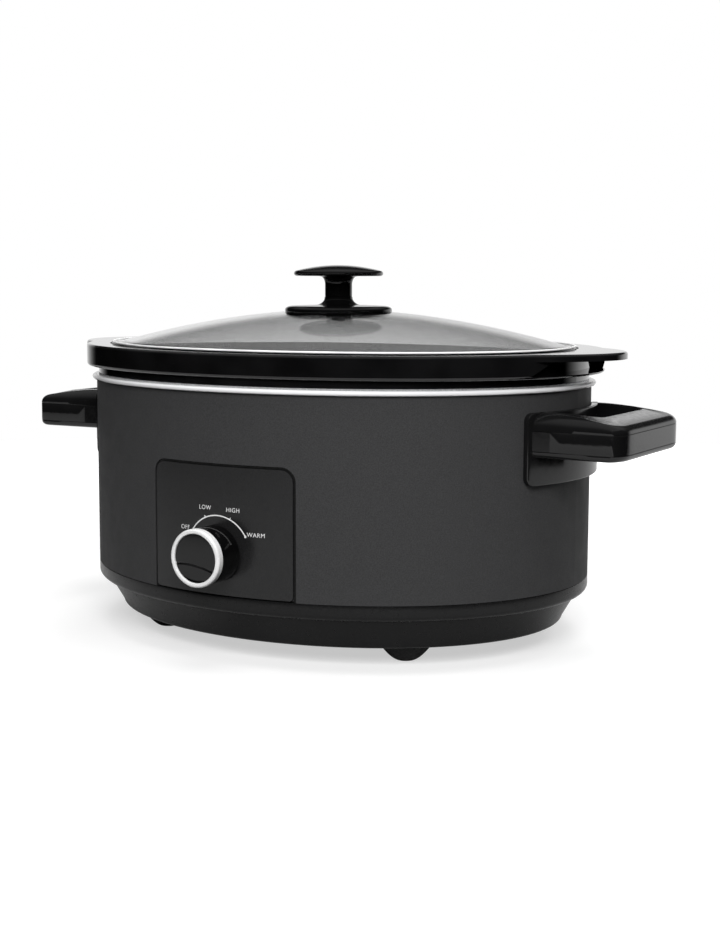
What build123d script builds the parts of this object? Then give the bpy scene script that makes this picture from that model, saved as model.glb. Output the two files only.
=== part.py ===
from build123d import *
import os

# Oval slow cooker, in millimetres. +Z is up and the control panel faces -Y.
# The origin is on the standing surface, under the centre of the oval.

# Heated base: outer oval, and the heights that stack up from the standing surface
BODY_HALF_X = 185.0
BODY_HALF_Y = 151.0
FOOT_HEIGHT = 13.6
BASE_HEIGHT = 31.9
SHELL_HEIGHT = 132.2
TRIM_HEIGHT = 3.3
SHELL_WALL = 1.0

# Base moulding
BASE_WALL = 2.6
BASE_BAND = 7.0  # upright band under the steel shell
BASE_STEP_IN = 7.0  # how far the band's rounded lower edge turns in
BASE_STEP_DROP = 4.5
BASE_SKIRT_IN = 10.0  # how far the slanted skirt leans in below the step
BASE_HEEL = 3.0  # rounded edge between the skirt and the floor
BASE_LIP = 6.0  # lip that stands up inside the shell
ROUND_STEPS = 5  # ovals along each rounded edge

# Feet
FOOT_X = 97.6
FOOT_Y = 75.7
FOOT_TOP_R = 19.5
FOOT_TOE_R = 5.0
FOOT_STEM_R = 4.0
FOOT_BEAD_R = 5.2
FOOT_BEAD = 2.4
FOOT_BEAD_TIP_R = 3.2
FOOT_SWELL_OUT = 0.65  # middle of the swell, as a share of the top radius
FOOT_SWELL_UP = 0.36  # and as a share of the height

# Chrome trim ring around the top of the shell
TRIM_PROUD = 3.0
TRIM_REACH_IN = 7.0
TRIM_LEAF = 1.2
TRIM_SKIRT = 8.0
TRIM_ROUND = 1.45

# Heating liner, heater band and the studs that pull the base together
LINER_INSET = 10.5  # from the shell's face to the liner's bore, at the top
LINER_TAPER = 12.5  # how much the liner narrows down to its floor
LINER_SHEET = 1.0
LINER_FLANGE_INSET = 1.5  # the flange stops this far inside the shell's face
LINER_FLOOR_RISE = 10.5  # floor of the liner above the base moulding
BAND_THICK = 2.5
BAND_RISE = 34.0  # band's lower edge above the liner's floor
BAND_HEIGHT = 40.0
STUD_X = 90.0
STUD_R = 2.5
SPACER_R = 6.0
NUT_ACROSS_FLATS = 8.0
NUT_HEIGHT = 4.0
STUD_TIP = 1.0  # stud past its nut
FUSE_R = 3.0
FUSE_LENGTH = 16.0
FUSE_Y = -40.0
CLIP_THICK = 1.0
CLIP_LENGTH = 30.0
CLIP_WIDTH = 7.0
BLOCK_SIZE = (34.0, 16.0, 14.0)
BLOCK_PLACE = (30.0, 80.0)
BLOCK_BORE_R = 1.8

# Stoneware crock
CROCK_CLEARANCE = 2.0  # between the crock and the liner, at the side and at the floor
CROCK_WALL = 8.0
CROCK_FLOOR = 9.0
CROCK_CORNER = 14.0
NECK_HEIGHT = 4.8
NECK_INSET = 1.5  # neck's face inside the shell's face
RIM_HEIGHT = 15.6
RIM_OVER_X = 10.0  # how far the rim stands out past the shell, at the ends
RIM_OVER_Y = 1.3  # and at the front and back
RIM_ROUND = 2.0
LUG_OVER_X = 30.5  # tip of a lifting lug past the shell
LUG_HALF_Y = 106.0  # half width of the oval that draws both lugs
LUG_THICK = 4.7
LUG_CORNER = 14.0
POCKET_DEPTH = 10.4  # finger pocket under a lug, in from the rim's face at the ends
POCKET_SILL = 1.6
POCKET_FOOT_HALF_Y = 62.0
POCKET_HEAD_HALF_Y = 45.0

# Glass lid
LID_GAP = 1.5  # between the lid's edge and the recess in the rim
LID_OVER_MOUTH_X = 10.0  # flange's outer edge past the crock's mouth
LID_OVER_MOUTH_Y = 7.5
LID_SINK = 2.0  # depth of the rim's recess
FLANGE_THICK = 2.8
FLANGE_ROUND = 0.9
DOME_INSET_X = 6.5  # flat width of the flange
DOME_INSET_Y = 8.0
DOME_RISE = 24.0
DOME_POWER = 1.85
DOME_STEPS = 10
GLASS = 3.8

# Lid knob
PLATE_TOP_R = 33.5
PLATE_EDGE_R = 38.5
PLATE_TOP_RISE = 2.5  # above the top of the dome
PLATE_EDGE_DROP = 2.6  # from the plate's top down to its outer edge
PLATE_BULGE = 0.5  # how far the bevel between them swells outwards
PLATE_BULGE_UP = 1.8
PLATE_DISH = 0.6  # plate's rise towards the collar
COLLAR_TOP_RISE = 9.0
COLLAR_FOOT_R = 17.0
COLLAR_LAP = 0.3  # collar's top outside the stem
COLLAR_HOLLOW = (1.8, 2.8)  # middle of the collar's hollow, out from the stem and up from the plate
STEM_R = 9.75
STEM_HEIGHT = 14.0
STEM_HEAD_R = 12.0
STEM_FLARE_RISE = 8.4  # where the stem starts to flare
STEM_FLARE_MIDDLE = (0.6, 12.2)
CAP_R = 32.0
CAP_UNDER = 1.8
CAP_UNDER_RISE = 0.6  # underside's rise from the stem to the edge
CAP_UNDER_FLAT_R = 29.8
CAP_UNDER_MIDDLE = (0.5, 0.72)  # middle of the lower edge's curve, in from the edge and up
CAP_EDGE_MIDDLE = (1.4, 1.6)  # middle of the upper edge's curve, in from the edge and up
CAP_EDGE_TOP = (4.5, 2.7)
CAP_DOME = 6.0
CAP_DOME_MIDDLE = 4.98
CAP_DOME_SLOPE = 0.28
LID_SCREW_R = 2.5
LID_SCREW_BITE = 16.0
LID_SCREW_HEAD_R = 5.0
LID_SCREW_HEAD = 3.0
LID_WASHER_R = 9.0
LID_WASHER = 1.2

# Side handles
HANDLE_REACH = 52.5  # outer face past the end of the shell
HANDLE_HALF_Y = 56.5
HANDLE_ROOT_HALF_Y = 56.0
HANDLE_CORNER = 10.0
HANDLE_TOP_DROP = 12.2  # top of the handle under the top of the shell
HANDLE_TOP_SLOPE = 6.0  # how far the top falls from the shell to the outer face
HANDLE_BEVEL_DROP = 11.5
HANDLE_BEVEL_IN = 13.0
HANDLE_FACE = 13.0
HANDLE_UNDER = 4.0
HANDLE_UNDER_IN = 4.0
GAP_BAR = 21.0  # width of the bar outside the finger gap
GAP_HALF_Y = 42.0
GAP_CORNER = 9.0
BRACKET_HALF_Y = 57.0
BRACKET_HEIGHT = 47.0
BRACKET_THICK = 4.8
BRACKET_CORNER = 5.0
BACKING_HALF_Y = 55.0
BACKING_HEIGHT = 24.0
BACKING_THICK = 1.2
HANDLE_SCREW_Y = 47.0
HANDLE_SCREW_DROP = 17.0  # under the top of the handle
HANDLE_SCREW_R = 2.0
HANDLE_SCREW_BITE = 12.0
HANDLE_SCREW_HEAD_R = 3.8
HANDLE_SCREW_HEAD = 2.4

# Control panel, dial and switch
PANEL_HALF_X = 53.5
PANEL_HEIGHT = 83.7
PANEL_LIFT = 1.0
PANEL_TOP_CORNER = 8.0
PANEL_FOOT_CORNER = 2.5
PANEL_SHADOW_GAP = 1.8
PANEL_PROUD = 0.3
PANEL_THICK = 2.4
PANEL_FLANGE = 4.5
PANEL_FLANGE_THICK = 1.8
DIAL_RISE = 28.5  # dial's axis above the base moulding
KNOB_R = 18.9
KNOB_FRONT = 25.7  # knob's front past the shell
KNOB_BACK_GAP = 1.6  # knob's back edge in front of the panel's middle
KNOB_BARREL_INSET = 0.5
KNOB_RING_DEPTH = 5.0
KNOB_RING_WALL = 3.0
KNOB_FACE_THICK = 1.2
KNOB_FACE_SINK = 1.0
KNOB_RING_ROUND = 0.9
KNOB_HOLLOW_R = 15.5
KNOB_HOLLOW = 9.0
KNOB_HUB_R = 6.0
KNOB_HUB_BACK = 4.5
SHAFT_R = 3.0
SHAFT_FLAT = 2.0
SHAFT_GRIP = 12.0
SHAFT_TIP_GAP = 3.0  # shaft's tip behind the back of the knob's face
SWITCH_BUSH_R = 4.5
SWITCH_BUSH_FRONT = 3.2
SWITCH_COLLAR_R = 7.2
SWITCH_SIZE = 26.0
SWITCH_DEPTH = 11.0
SWITCH_CORNER = 2.6
SWITCH_BACK_WALL = 2.0
SWITCH_SEAT = 1.0  # gap left behind the curved panel
SWITCH_NUT_FLATS = 13.0
SWITCH_NUT = 2.0

# Cord inlet at the back
GLAND_RISE = 16.5  # gland's axis above the base moulding
GLAND_R = 9.0
GLAND_NECK_R = 6.5
GLAND_CATCH = 1.5  # step behind the shell that keeps the gland in
GLAND_BORE_R = 3.6
GLAND_PROUD = 4.0
GLAND_INSIDE = 3.0

# Fits
SEAT_GAP = 0.1  # curved faces that seat on each other in one body
REST_GAP = 0.3  # crock over liner, and lid over crock
RUNNING_GAP = 0.05  # switch shaft in its bush
HOLE_GAP = 0.2  # screws and studs through sheet
THREAD_GAP = 0.02  # screws in their own threads
CUT = 5.0  # how far a cutter runs past the solid it cuts
CUT_LONG = 30.0  # and past a wall that curves
OVERLAP = 1.0  # how far solids that are fused run into each other

# Heights
BASE_FLOOR = FOOT_HEIGHT
BASE_TOP = BASE_FLOOR + BASE_HEIGHT
SHELL_TOP = BASE_TOP + SHELL_HEIGHT
TRIM_TOP = SHELL_TOP + TRIM_HEIGHT
LINER_TOP = TRIM_TOP + LINER_SHEET
LINER_FLOOR = BASE_TOP + LINER_FLOOR_RISE
NECK_FOOT = LINER_TOP + REST_GAP
RIM_FOOT = NECK_FOOT + NECK_HEIGHT
RIM_TOP = RIM_FOOT + RIM_HEIGHT
LEDGE = RIM_TOP - LID_SINK
FLANGE_FOOT = LEDGE + REST_GAP
FLANGE_TOP = FLANGE_FOOT + FLANGE_THICK
DOME_TOP = FLANGE_TOP + DOME_RISE
HANDLE_TOP = SHELL_TOP - HANDLE_TOP_DROP
DIAL_Z = BASE_TOP + DIAL_RISE
PANEL_FOOT = BASE_TOP + PANEL_LIFT
PANEL_TOP = PANEL_FOOT + PANEL_HEIGHT

# Depths in front of the shell, at the dial
KNOB_FACE_BACK = KNOB_FRONT - KNOB_FACE_SINK - KNOB_FACE_THICK
SHAFT_TIP = KNOB_FACE_BACK - SHAFT_TIP_GAP

# Ovals of the crock and the lid
CROCK_INSET = LINER_INSET + CROCK_CLEARANCE
MOUTH_X = BODY_HALF_X - CROCK_INSET - CROCK_WALL
MOUTH_Y = BODY_HALF_Y - CROCK_INSET - CROCK_WALL
LID_X = MOUTH_X + LID_OVER_MOUTH_X
LID_Y = MOUTH_Y + LID_OVER_MOUTH_Y
DOME_X = LID_X - DOME_INSET_X
DOME_Y = LID_Y - DOME_INSET_Y

ON_END = (Align.CENTER, Align.CENTER, Align.MIN)


def oval(inset, z):
    """Face of the body's oval, drawn in by inset, at height z."""
    return Plane.XY.offset(z) * Ellipse(BODY_HALF_X - inset, BODY_HALF_Y - inset)


def oval_block(inset, foot, top):
    """Upright solid on the body's oval, drawn in by inset."""
    return extrude(oval(inset, foot), top - foot)


def oval_tube(inset, wall, foot, top):
    """Upright wall on the body's oval."""
    return oval_block(inset, foot, top) - oval_block(inset + wall, foot - CUT, top + CUT)


def oval_cone(levels):
    """Solid through ovals given as (height, inset)."""
    return loft([oval(inset, z) for z, inset in levels], ruled=True)


def quarter_round(start_z, start_inset, drop, turn_in):
    """Ovals down a rounded edge that starts upright and ends level."""
    angles = [90 * step / ROUND_STEPS for step in range(1, ROUND_STEPS + 1)]
    bend = [Vector(1, 0).rotate(Axis.Z, angle) for angle in angles]
    return [(start_z - drop * v.Y, start_inset + turn_in * (1 - v.X)) for v in bend]


def ellipse_block(half_x, half_y, foot, top):
    """Upright solid on an ellipse of its own."""
    return extrude(Plane.XY.offset(foot) * Ellipse(half_x, half_y), top - foot)


def box_between(low, high):
    """Box from its lowest to its highest corner."""
    size = Vector(high) - Vector(low)
    middle = Vector(low) + size * 0.5
    return Pos(middle.X, middle.Y, middle.Z) * Box(size.X, size.Y, size.Z)


def rod(plane, radius, start, end):
    """Round bar along a plane's normal."""
    return plane * Pos(0, 0, start) * Cylinder(radius, end - start, align=ON_END)


def hexagon(plane, across_flats, start, end):
    """Hexagonal bar along a plane's normal."""
    outline = plane * Pos(0, 0, start) * RegularPolygon(across_flats / 2, 6, major_radius=False)
    return extrude(outline, end - start)


def middle_sag(radius):
    """How far the shell's front or back curves away within a radius of its middle."""
    return BODY_HALF_Y * (1 - (1 - (radius / BODY_HALF_X) ** 2) ** 0.5)


def turned(outline):
    """Solid of revolution about Z, from a closed outline in the XZ plane."""
    return revolve(make_face(outline), Axis.Z)


def dome(half_x, half_y, foot):
    """Solid under the lid's dome, standing on the height foot."""
    shares = [step / DOME_STEPS for step in range(DOME_STEPS + 1)]
    points = [(half_x * s, 0, DOME_RISE * (1 - s**DOME_POWER)) for s in shares]
    fall = (half_x, 0, -DOME_RISE * DOME_POWER)
    crown = Spline(*points, tangents=[(1, 0, 0), fall])
    outline = crown + Line(points[-1], (0, 0, 0)) + Line((0, 0, 0), points[0])
    return Pos(0, 0, foot) * scale(turned(outline), by=(1, half_y / half_x, 1))


def build_base_pan():
    step_z = BASE_TOP - BASE_BAND
    skirt_z = step_z - BASE_STEP_DROP
    skirt_in = BASE_STEP_IN + BASE_SKIRT_IN
    heel_z = BASE_FLOOR + BASE_HEEL
    outside = [(BASE_TOP, 0), (step_z, 0)]
    outside += quarter_round(step_z, 0, BASE_STEP_DROP, BASE_STEP_IN)
    outside += [(heel_z, skirt_in)]
    outside += quarter_round(heel_z, skirt_in, BASE_HEEL, BASE_HEEL)
    floor_z = BASE_FLOOR + BASE_WALL
    inside = [
        (BASE_TOP + BASE_LIP + CUT, BASE_WALL),
        (step_z + BASE_WALL, BASE_WALL),
        (skirt_z + BASE_WALL, BASE_STEP_IN + BASE_WALL),
        (floor_z, skirt_in + BASE_WALL),
    ]
    lip_foot = BASE_TOP - BASE_WALL
    lip = oval_tube(SHELL_WALL + SEAT_GAP, BASE_WALL, lip_foot, BASE_TOP + BASE_LIP)
    notch_x = PANEL_HALF_X + PANEL_FLANGE + CUT
    notch_top = BASE_TOP + BASE_LIP + CUT
    notch = box_between((-notch_x, -BODY_HALF_Y - CUT, BASE_TOP), (notch_x, 0, notch_top))
    pan = oval_cone(outside) - oval_cone(inside) + (lip - notch)
    for x in (-FOOT_X, FOOT_X):
        for y in (-FOOT_Y, FOOT_Y):
            pan -= rod(Plane((x, y, 0)), FOOT_STEM_R + SEAT_GAP, 0, floor_z + CUT)
    for x in (-STUD_X, STUD_X):
        pan -= rod(Plane((x, 0, 0)), STUD_R + HOLE_GAP, 0, floor_z + CUT)
    return pan


def build_foot(x, y):
    stem_top = BASE_FLOOR + BASE_WALL + SEAT_GAP
    swell = (FOOT_TOP_R * FOOT_SWELL_OUT, 0, FOOT_HEIGHT * FOOT_SWELL_UP)
    outline = Line((0, 0, 0), (FOOT_TOE_R, 0, 0))
    outline += ThreePointArc((FOOT_TOE_R, 0, 0), swell, (FOOT_TOP_R, 0, FOOT_HEIGHT))
    outline += Polyline((FOOT_TOP_R, 0, FOOT_HEIGHT), (0, 0, FOOT_HEIGHT), (0, 0, 0))
    bead = Plane((x, y, stem_top)) * Cone(FOOT_BEAD_R, FOOT_BEAD_TIP_R, FOOT_BEAD, align=ON_END)
    stem = rod(Plane((x, y, 0)), FOOT_STEM_R, FOOT_HEIGHT - OVERLAP, stem_top)
    return Pos(x, y, 0) * turned(outline) + stem + bead


def build_outer_shell():
    shell = oval_tube(0, SHELL_WALL, BASE_TOP, SHELL_TOP)
    shell -= panel_prism(PANEL_SHADOW_GAP, BASE_TOP - CUT)
    gland = Plane((0, 0, BASE_TOP + GLAND_RISE), z_dir=(0, 1, 0))
    shell -= rod(gland, GLAND_NECK_R + HOLE_GAP, 0, BODY_HALF_Y + CUT)
    for axis in handle_screw_planes():
        shell -= rod(axis, HANDLE_SCREW_R + HOLE_GAP, -CUT, CUT)
    return shell


def build_trim_ring():
    bead = oval_block(-TRIM_PROUD, SHELL_TOP, TRIM_TOP)
    bead = fillet(bead.edges().filter_by(GeomType.ELLIPSE), TRIM_ROUND)
    leaf = TRIM_TOP - TRIM_LEAF
    skirt_in = SHELL_WALL + SEAT_GAP
    skirt = oval_tube(skirt_in, TRIM_LEAF, SHELL_TOP - TRIM_SKIRT, TRIM_TOP - TRIM_ROUND)
    return (
        bead
        - oval_block(TRIM_REACH_IN, leaf - CUT, TRIM_TOP + CUT)
        - oval_block(skirt_in + TRIM_LEAF, SHELL_TOP - CUT, leaf)
        + skirt
    )


def liner_inset(z):
    """Inset of the liner's bore at height z."""
    return LINER_INSET + LINER_TAPER * (LINER_TOP - z) / (LINER_TOP - LINER_FLOOR)


def liner_cone(foot, top, inset):
    """Solid along the liner's slope, with its face moved in from the bore's by inset."""
    return oval_cone([(top, liner_inset(top) + inset), (foot, liner_inset(foot) + inset)])


def build_heating_liner():
    floor_under = LINER_FLOOR - LINER_SHEET
    outside = liner_cone(floor_under, LINER_TOP, -LINER_SHEET)
    bore = liner_cone(LINER_FLOOR, LINER_TOP + CUT, 0)
    flange = oval_block(LINER_FLANGE_INSET, TRIM_TOP, LINER_TOP)
    return outside + flange - bore


def build_heater_band():
    foot = LINER_FLOOR + BAND_RISE
    top = foot + BAND_HEIGHT
    wall = SEAT_GAP + LINER_SHEET
    return liner_cone(foot, top, -wall - BAND_THICK) - liner_cone(foot - CUT, top + CUT, -wall)


def build_studs():
    """Studs, the spacers that hold the liner's height, and the nuts under the base."""
    top = LINER_FLOOR - LINER_SHEET
    floor_z = BASE_FLOOR + BASE_WALL
    stud_parts = []
    spacer_parts = []
    nut_parts = []
    for x in (-STUD_X, STUD_X):
        axis = Plane((x, 0, 0))
        stud_parts.append(rod(axis, STUD_R, BASE_FLOOR - NUT_HEIGHT - STUD_TIP, top))
        spacer = rod(axis, SPACER_R, floor_z, top) - rod(axis, STUD_R + HOLE_GAP, 0, top + CUT)
        spacer_parts.append(spacer)
        nut = hexagon(axis, NUT_ACROSS_FLATS, BASE_FLOOR - NUT_HEIGHT, BASE_FLOOR)
        nut_parts.append(nut - rod(axis, STUD_R + THREAD_GAP, 0, BASE_FLOOR + CUT))
    return Compound(stud_parts), Compound(spacer_parts), Compound(nut_parts)


def build_thermal_fuse():
    """Fuse under the liner's floor, and the spring clip that holds it there."""
    ceiling = LINER_FLOOR - LINER_SHEET
    centre_z = ceiling - FUSE_R
    axis = Plane((0, FUSE_Y, centre_z), z_dir=(1, 0, 0))
    fuse = rod(axis, FUSE_R - SEAT_GAP, -FUSE_LENGTH / 2, FUSE_LENGTH / 2)
    half = CLIP_WIDTH / 2
    front = FUSE_Y - CLIP_LENGTH / 2
    rear = FUSE_Y + CLIP_LENGTH / 2
    clip = box_between((-half, front, ceiling - CLIP_THICK), (half, rear, ceiling))
    clip += rod(axis, FUSE_R + CLIP_THICK, -half, half)
    clip -= rod(axis, FUSE_R, -half - CUT, half + CUT)
    side = half + CUT
    high = ceiling + CUT
    clip -= box_between((-side, front - CUT, ceiling), (side, rear + CUT, high))
    clip -= box_between((-side, FUSE_Y - FUSE_R, centre_z), (side, FUSE_Y + FUSE_R, high))
    return fuse, clip


def build_terminal_block():
    foot = BASE_FLOOR + BASE_WALL
    length, width, height = BLOCK_SIZE
    x, y = BLOCK_PLACE
    block = Pos(x, y, foot) * Box(length, width, height, align=ON_END)
    for share in (-1, 0, 1):
        axis = Plane((x + share * length / 3, y, foot + height / 2), z_dir=(0, 1, 0))
        block -= rod(axis, BLOCK_BORE_R, -width, width)
    return block


def build_cord_gland():
    axis = Plane((0, BODY_HALF_Y, BASE_TOP + GLAND_RISE), z_dir=(0, 1, 0))
    inner_r = GLAND_NECK_R + GLAND_CATCH
    inner_seat = -SHELL_WALL - SEAT_GAP - middle_sag(inner_r)
    gland = axis * Pos(0, 0, SEAT_GAP) * Cone(GLAND_R, GLAND_R - GLAND_CATCH, GLAND_PROUD, align=ON_END)
    gland += rod(axis, GLAND_NECK_R, inner_seat - OVERLAP, OVERLAP)
    gland += rod(axis, inner_r, inner_seat - GLAND_INSIDE, inner_seat)
    return gland - rod(axis, GLAND_BORE_R, -CUT_LONG, CUT_LONG)


def panel_prism(growth, foot):
    """Prism through the front on the panel's outline, grown by growth at the sides and top."""
    top = PANEL_TOP + growth
    outline = Plane.XZ * Pos(0, (foot + top) / 2) * Rectangle(2 * (PANEL_HALF_X + growth), top - foot)
    outline = fillet(outline.vertices().group_by(Axis.Z)[-1], PANEL_TOP_CORNER + growth)
    if foot > BASE_TOP:
        outline = fillet(outline.vertices().group_by(Axis.Z)[0], PANEL_FOOT_CORNER)
    return extrude(outline, 2 * BODY_HALF_Y)


def dial_axis():
    """Plane on the shell's front at the dial, facing out."""
    return Plane((0, -BODY_HALF_Y, DIAL_Z), z_dir=(0, -1, 0))


def build_control_panel():
    face = oval_tube(-PANEL_PROUD, PANEL_PROUD + PANEL_THICK, PANEL_FOOT - CUT, PANEL_TOP + CUT)
    face &= panel_prism(0, PANEL_FOOT)
    behind = SHELL_WALL + SEAT_GAP
    low = PANEL_FOOT - CUT
    flange = oval_tube(behind, PANEL_FLANGE_THICK, low, PANEL_TOP + PANEL_FLANGE + CUT)
    flange &= panel_prism(PANEL_FLANGE, PANEL_FOOT)
    return face + flange - rod(dial_axis(), SWITCH_BUSH_R + SEAT_GAP, -CUT_LONG, CUT_LONG)


def build_switch():
    """Rotary switch behind the panel, its nut, and its shaft."""
    axis = dial_axis()
    seat = min(-SHELL_WALL - SEAT_GAP - PANEL_FLANGE_THICK, -PANEL_THICK)
    bore_foot = seat - SWITCH_DEPTH - SWITCH_SEAT + SWITCH_BACK_WALL
    back = bore_foot - SWITCH_BACK_WALL
    body = axis * Pos(0, 0, back) * Box(SWITCH_SIZE, SWITCH_SIZE, SWITCH_DEPTH, align=ON_END)
    body = fillet(body.edges().filter_by(Axis.Y), SWITCH_CORNER)
    collar_front = seat - SEAT_GAP - middle_sag(SWITCH_COLLAR_R)
    body += rod(axis, SWITCH_COLLAR_R, seat - SWITCH_SEAT - OVERLAP, collar_front)
    body += rod(axis, SWITCH_BUSH_R, seat - CUT, SWITCH_BUSH_FRONT)
    body -= rod(axis, SHAFT_R + RUNNING_GAP, bore_foot, SWITCH_BUSH_FRONT + CUT)
    nut = hexagon(axis, SWITCH_NUT_FLATS, PANEL_PROUD, PANEL_PROUD + SWITCH_NUT)
    nut -= rod(axis, SWITCH_BUSH_R + THREAD_GAP, -CUT, SWITCH_BUSH_FRONT + CUT)
    shaft = rod(axis, SHAFT_R, bore_foot + RUNNING_GAP, SHAFT_TIP)
    shaft -= flat_cut(axis, SHAFT_FLAT, SHAFT_TIP - SHAFT_GRIP, SHAFT_TIP + CUT)
    return body, nut, shaft


def flat_cut(axis, offset, start, end):
    """Cutter for the flat of a D-shaped shaft."""
    depth = end - start
    return axis * Pos(0, offset + SHAFT_R, (start + end) / 2) * Box(4 * SHAFT_R, 2 * SHAFT_R, depth)


def build_control_knob():
    """Knob barrel, its bright ring, and the dark face inside the ring."""
    axis = dial_axis()
    back = PANEL_PROUD + KNOB_BACK_GAP
    ring_back = KNOB_FRONT - KNOB_RING_DEPTH
    boss_r = KNOB_R - KNOB_RING_WALL - SEAT_GAP
    hollow_top = back + KNOB_HOLLOW
    knob = rod(axis, KNOB_R - KNOB_BARREL_INSET, back, ring_back)
    knob += rod(axis, boss_r, ring_back - OVERLAP, KNOB_FACE_BACK)
    knob -= rod(axis, KNOB_HOLLOW_R, back - CUT, hollow_top)
    knob += rod(axis, KNOB_HUB_R, back + KNOB_HUB_BACK, hollow_top + OVERLAP)
    socket = rod(axis, SHAFT_R + THREAD_GAP, 0, SHAFT_TIP + THREAD_GAP)
    socket -= flat_cut(axis, SHAFT_FLAT + THREAD_GAP, SHAFT_TIP - SHAFT_GRIP, SHAFT_TIP + CUT)
    knob -= socket
    ring = rod(axis, KNOB_R, ring_back, KNOB_FRONT)
    ring -= rod(axis, KNOB_R - KNOB_RING_WALL, ring_back - CUT, KNOB_FRONT + CUT)
    ring = fillet(ring.edges().filter_by(GeomType.CIRCLE).group_by(Axis.Y)[0], KNOB_RING_ROUND)
    face = rod(axis, boss_r, KNOB_FACE_BACK, KNOB_FRONT - KNOB_FACE_SINK)
    return knob, ring, face


def handle_plan(inset, z):
    """Plan of the right handle, drawn in by inset at its sides and outer face."""
    reach = BODY_HALF_X + HANDLE_REACH
    root_x = BODY_HALF_X / 2
    lean = (HANDLE_ROOT_HALF_Y - HANDLE_HALF_Y) / HANDLE_REACH
    root_y = HANDLE_HALF_Y + lean * (reach - root_x) - inset
    tip_x = reach - inset
    tip_y = HANDLE_HALF_Y - inset
    points = [(root_x, -root_y), (tip_x, -tip_y), (tip_x, tip_y), (root_x, root_y)]
    outline = make_face(Polyline(*points, close=True))
    return Plane.XY.offset(z) * fillet(outline.vertices().group_by(Axis.X)[-1], HANDLE_CORNER)


def build_handle():
    """Right-hand loop handle with the bracket that lies on the shell."""
    face_top = HANDLE_TOP - HANDLE_BEVEL_DROP
    face_foot = face_top - HANDLE_FACE
    foot = face_foot - HANDLE_UNDER
    grip = extrude(handle_plan(0, face_foot), HANDLE_FACE)
    grip += loft([handle_plan(0, face_top), handle_plan(HANDLE_BEVEL_IN, HANDLE_TOP)], ruled=True)
    grip += loft([handle_plan(HANDLE_UNDER_IN, foot), handle_plan(0, face_foot)], ruled=True)
    reach = BODY_HALF_X + HANDLE_REACH
    side = Polyline(
        (0, 0, foot - CUT),
        (0, 0, HANDLE_TOP),
        (BODY_HALF_X, 0, HANDLE_TOP),
    )
    side += ThreePointArc(
        (BODY_HALF_X, 0, HANDLE_TOP),
        (BODY_HALF_X + HANDLE_REACH / 2, 0, HANDLE_TOP - HANDLE_TOP_SLOPE / 4),
        (reach, 0, HANDLE_TOP - HANDLE_TOP_SLOPE),
    )
    side += Polyline(
        (reach, 0, HANDLE_TOP - HANDLE_TOP_SLOPE),
        (reach + CUT, 0, HANDLE_TOP - HANDLE_TOP_SLOPE),
        (reach + CUT, 0, foot - CUT),
        (0, 0, foot - CUT),
    )
    profile = make_face(side)
    grip &= extrude(profile, BODY_HALF_Y, both=True)
    gap_x = BODY_HALF_X + HANDLE_REACH - GAP_BAR
    gap = box_between((0, -GAP_HALF_Y, foot - CUT), (gap_x, GAP_HALF_Y, HANDLE_TOP + CUT))
    gap = fillet(gap.edges().filter_by(Axis.Z).group_by(Axis.X)[-1], GAP_CORNER)
    bracket_foot = HANDLE_TOP - BRACKET_HEIGHT
    plate = oval_block(-SEAT_GAP - BRACKET_THICK, bracket_foot, HANDLE_TOP)
    far_x = 2 * BODY_HALF_X
    window = box_between((0, -BRACKET_HALF_Y, bracket_foot), (far_x, BRACKET_HALF_Y, HANDLE_TOP))
    plate &= fillet(window.edges().filter_by(Axis.X), BRACKET_CORNER)
    handle = grip - gap + plate - oval_block(-SEAT_GAP, foot - 2 * BRACKET_HEIGHT, HANDLE_TOP + CUT)
    for axis in handle_screw_planes()[:2]:
        handle -= rod(axis, HANDLE_SCREW_R + THREAD_GAP, -CUT, HANDLE_SCREW_BITE + OVERLAP)
    return handle


def handle_screw_planes():
    """Planes square to the shell at the handle screws, two on the right and then two on the left."""
    planes = []
    for side in (1, -1):
        for y in (-HANDLE_SCREW_Y, HANDLE_SCREW_Y):
            x = side * BODY_HALF_X * (1 - (y / BODY_HALF_Y) ** 2) ** 0.5
            normal = (x / BODY_HALF_X**2, y / BODY_HALF_Y**2, 0)
            planes.append(Plane((x, y, HANDLE_TOP - HANDLE_SCREW_DROP), z_dir=normal))
    return planes


def build_backing_plate():
    """Steel plate inside the shell behind the right handle."""
    inset = SHELL_WALL + SEAT_GAP
    middle = HANDLE_TOP - HANDLE_SCREW_DROP
    foot = middle - BACKING_HEIGHT / 2
    top = middle + BACKING_HEIGHT / 2
    plate = oval_tube(inset, BACKING_THICK, foot, top)
    plate &= box_between((0, -BACKING_HALF_Y, foot), (2 * BODY_HALF_X, BACKING_HALF_Y, top))
    for axis in handle_screw_planes()[:2]:
        plate -= rod(axis, HANDLE_SCREW_R + HOLE_GAP, -2 * CUT, CUT)
    return plate


def build_handle_screws():
    seat = -(SHELL_WALL + 2 * SEAT_GAP + BACKING_THICK)
    screws = []
    for axis in handle_screw_planes():
        head = rod(axis, HANDLE_SCREW_HEAD_R, seat - HANDLE_SCREW_HEAD, seat)
        screws.append(head + rod(axis, HANDLE_SCREW_R, seat - OVERLAP, HANDLE_SCREW_BITE))
    return Compound(screws)


def is_lug_corner(edge):
    """True for the upright edges where a lug runs into the rim."""
    run = edge.position_at(1) - edge.position_at(0)
    return abs(run.X) + abs(run.Y) < 0.01 and abs(edge.center().Y) > 1


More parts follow.
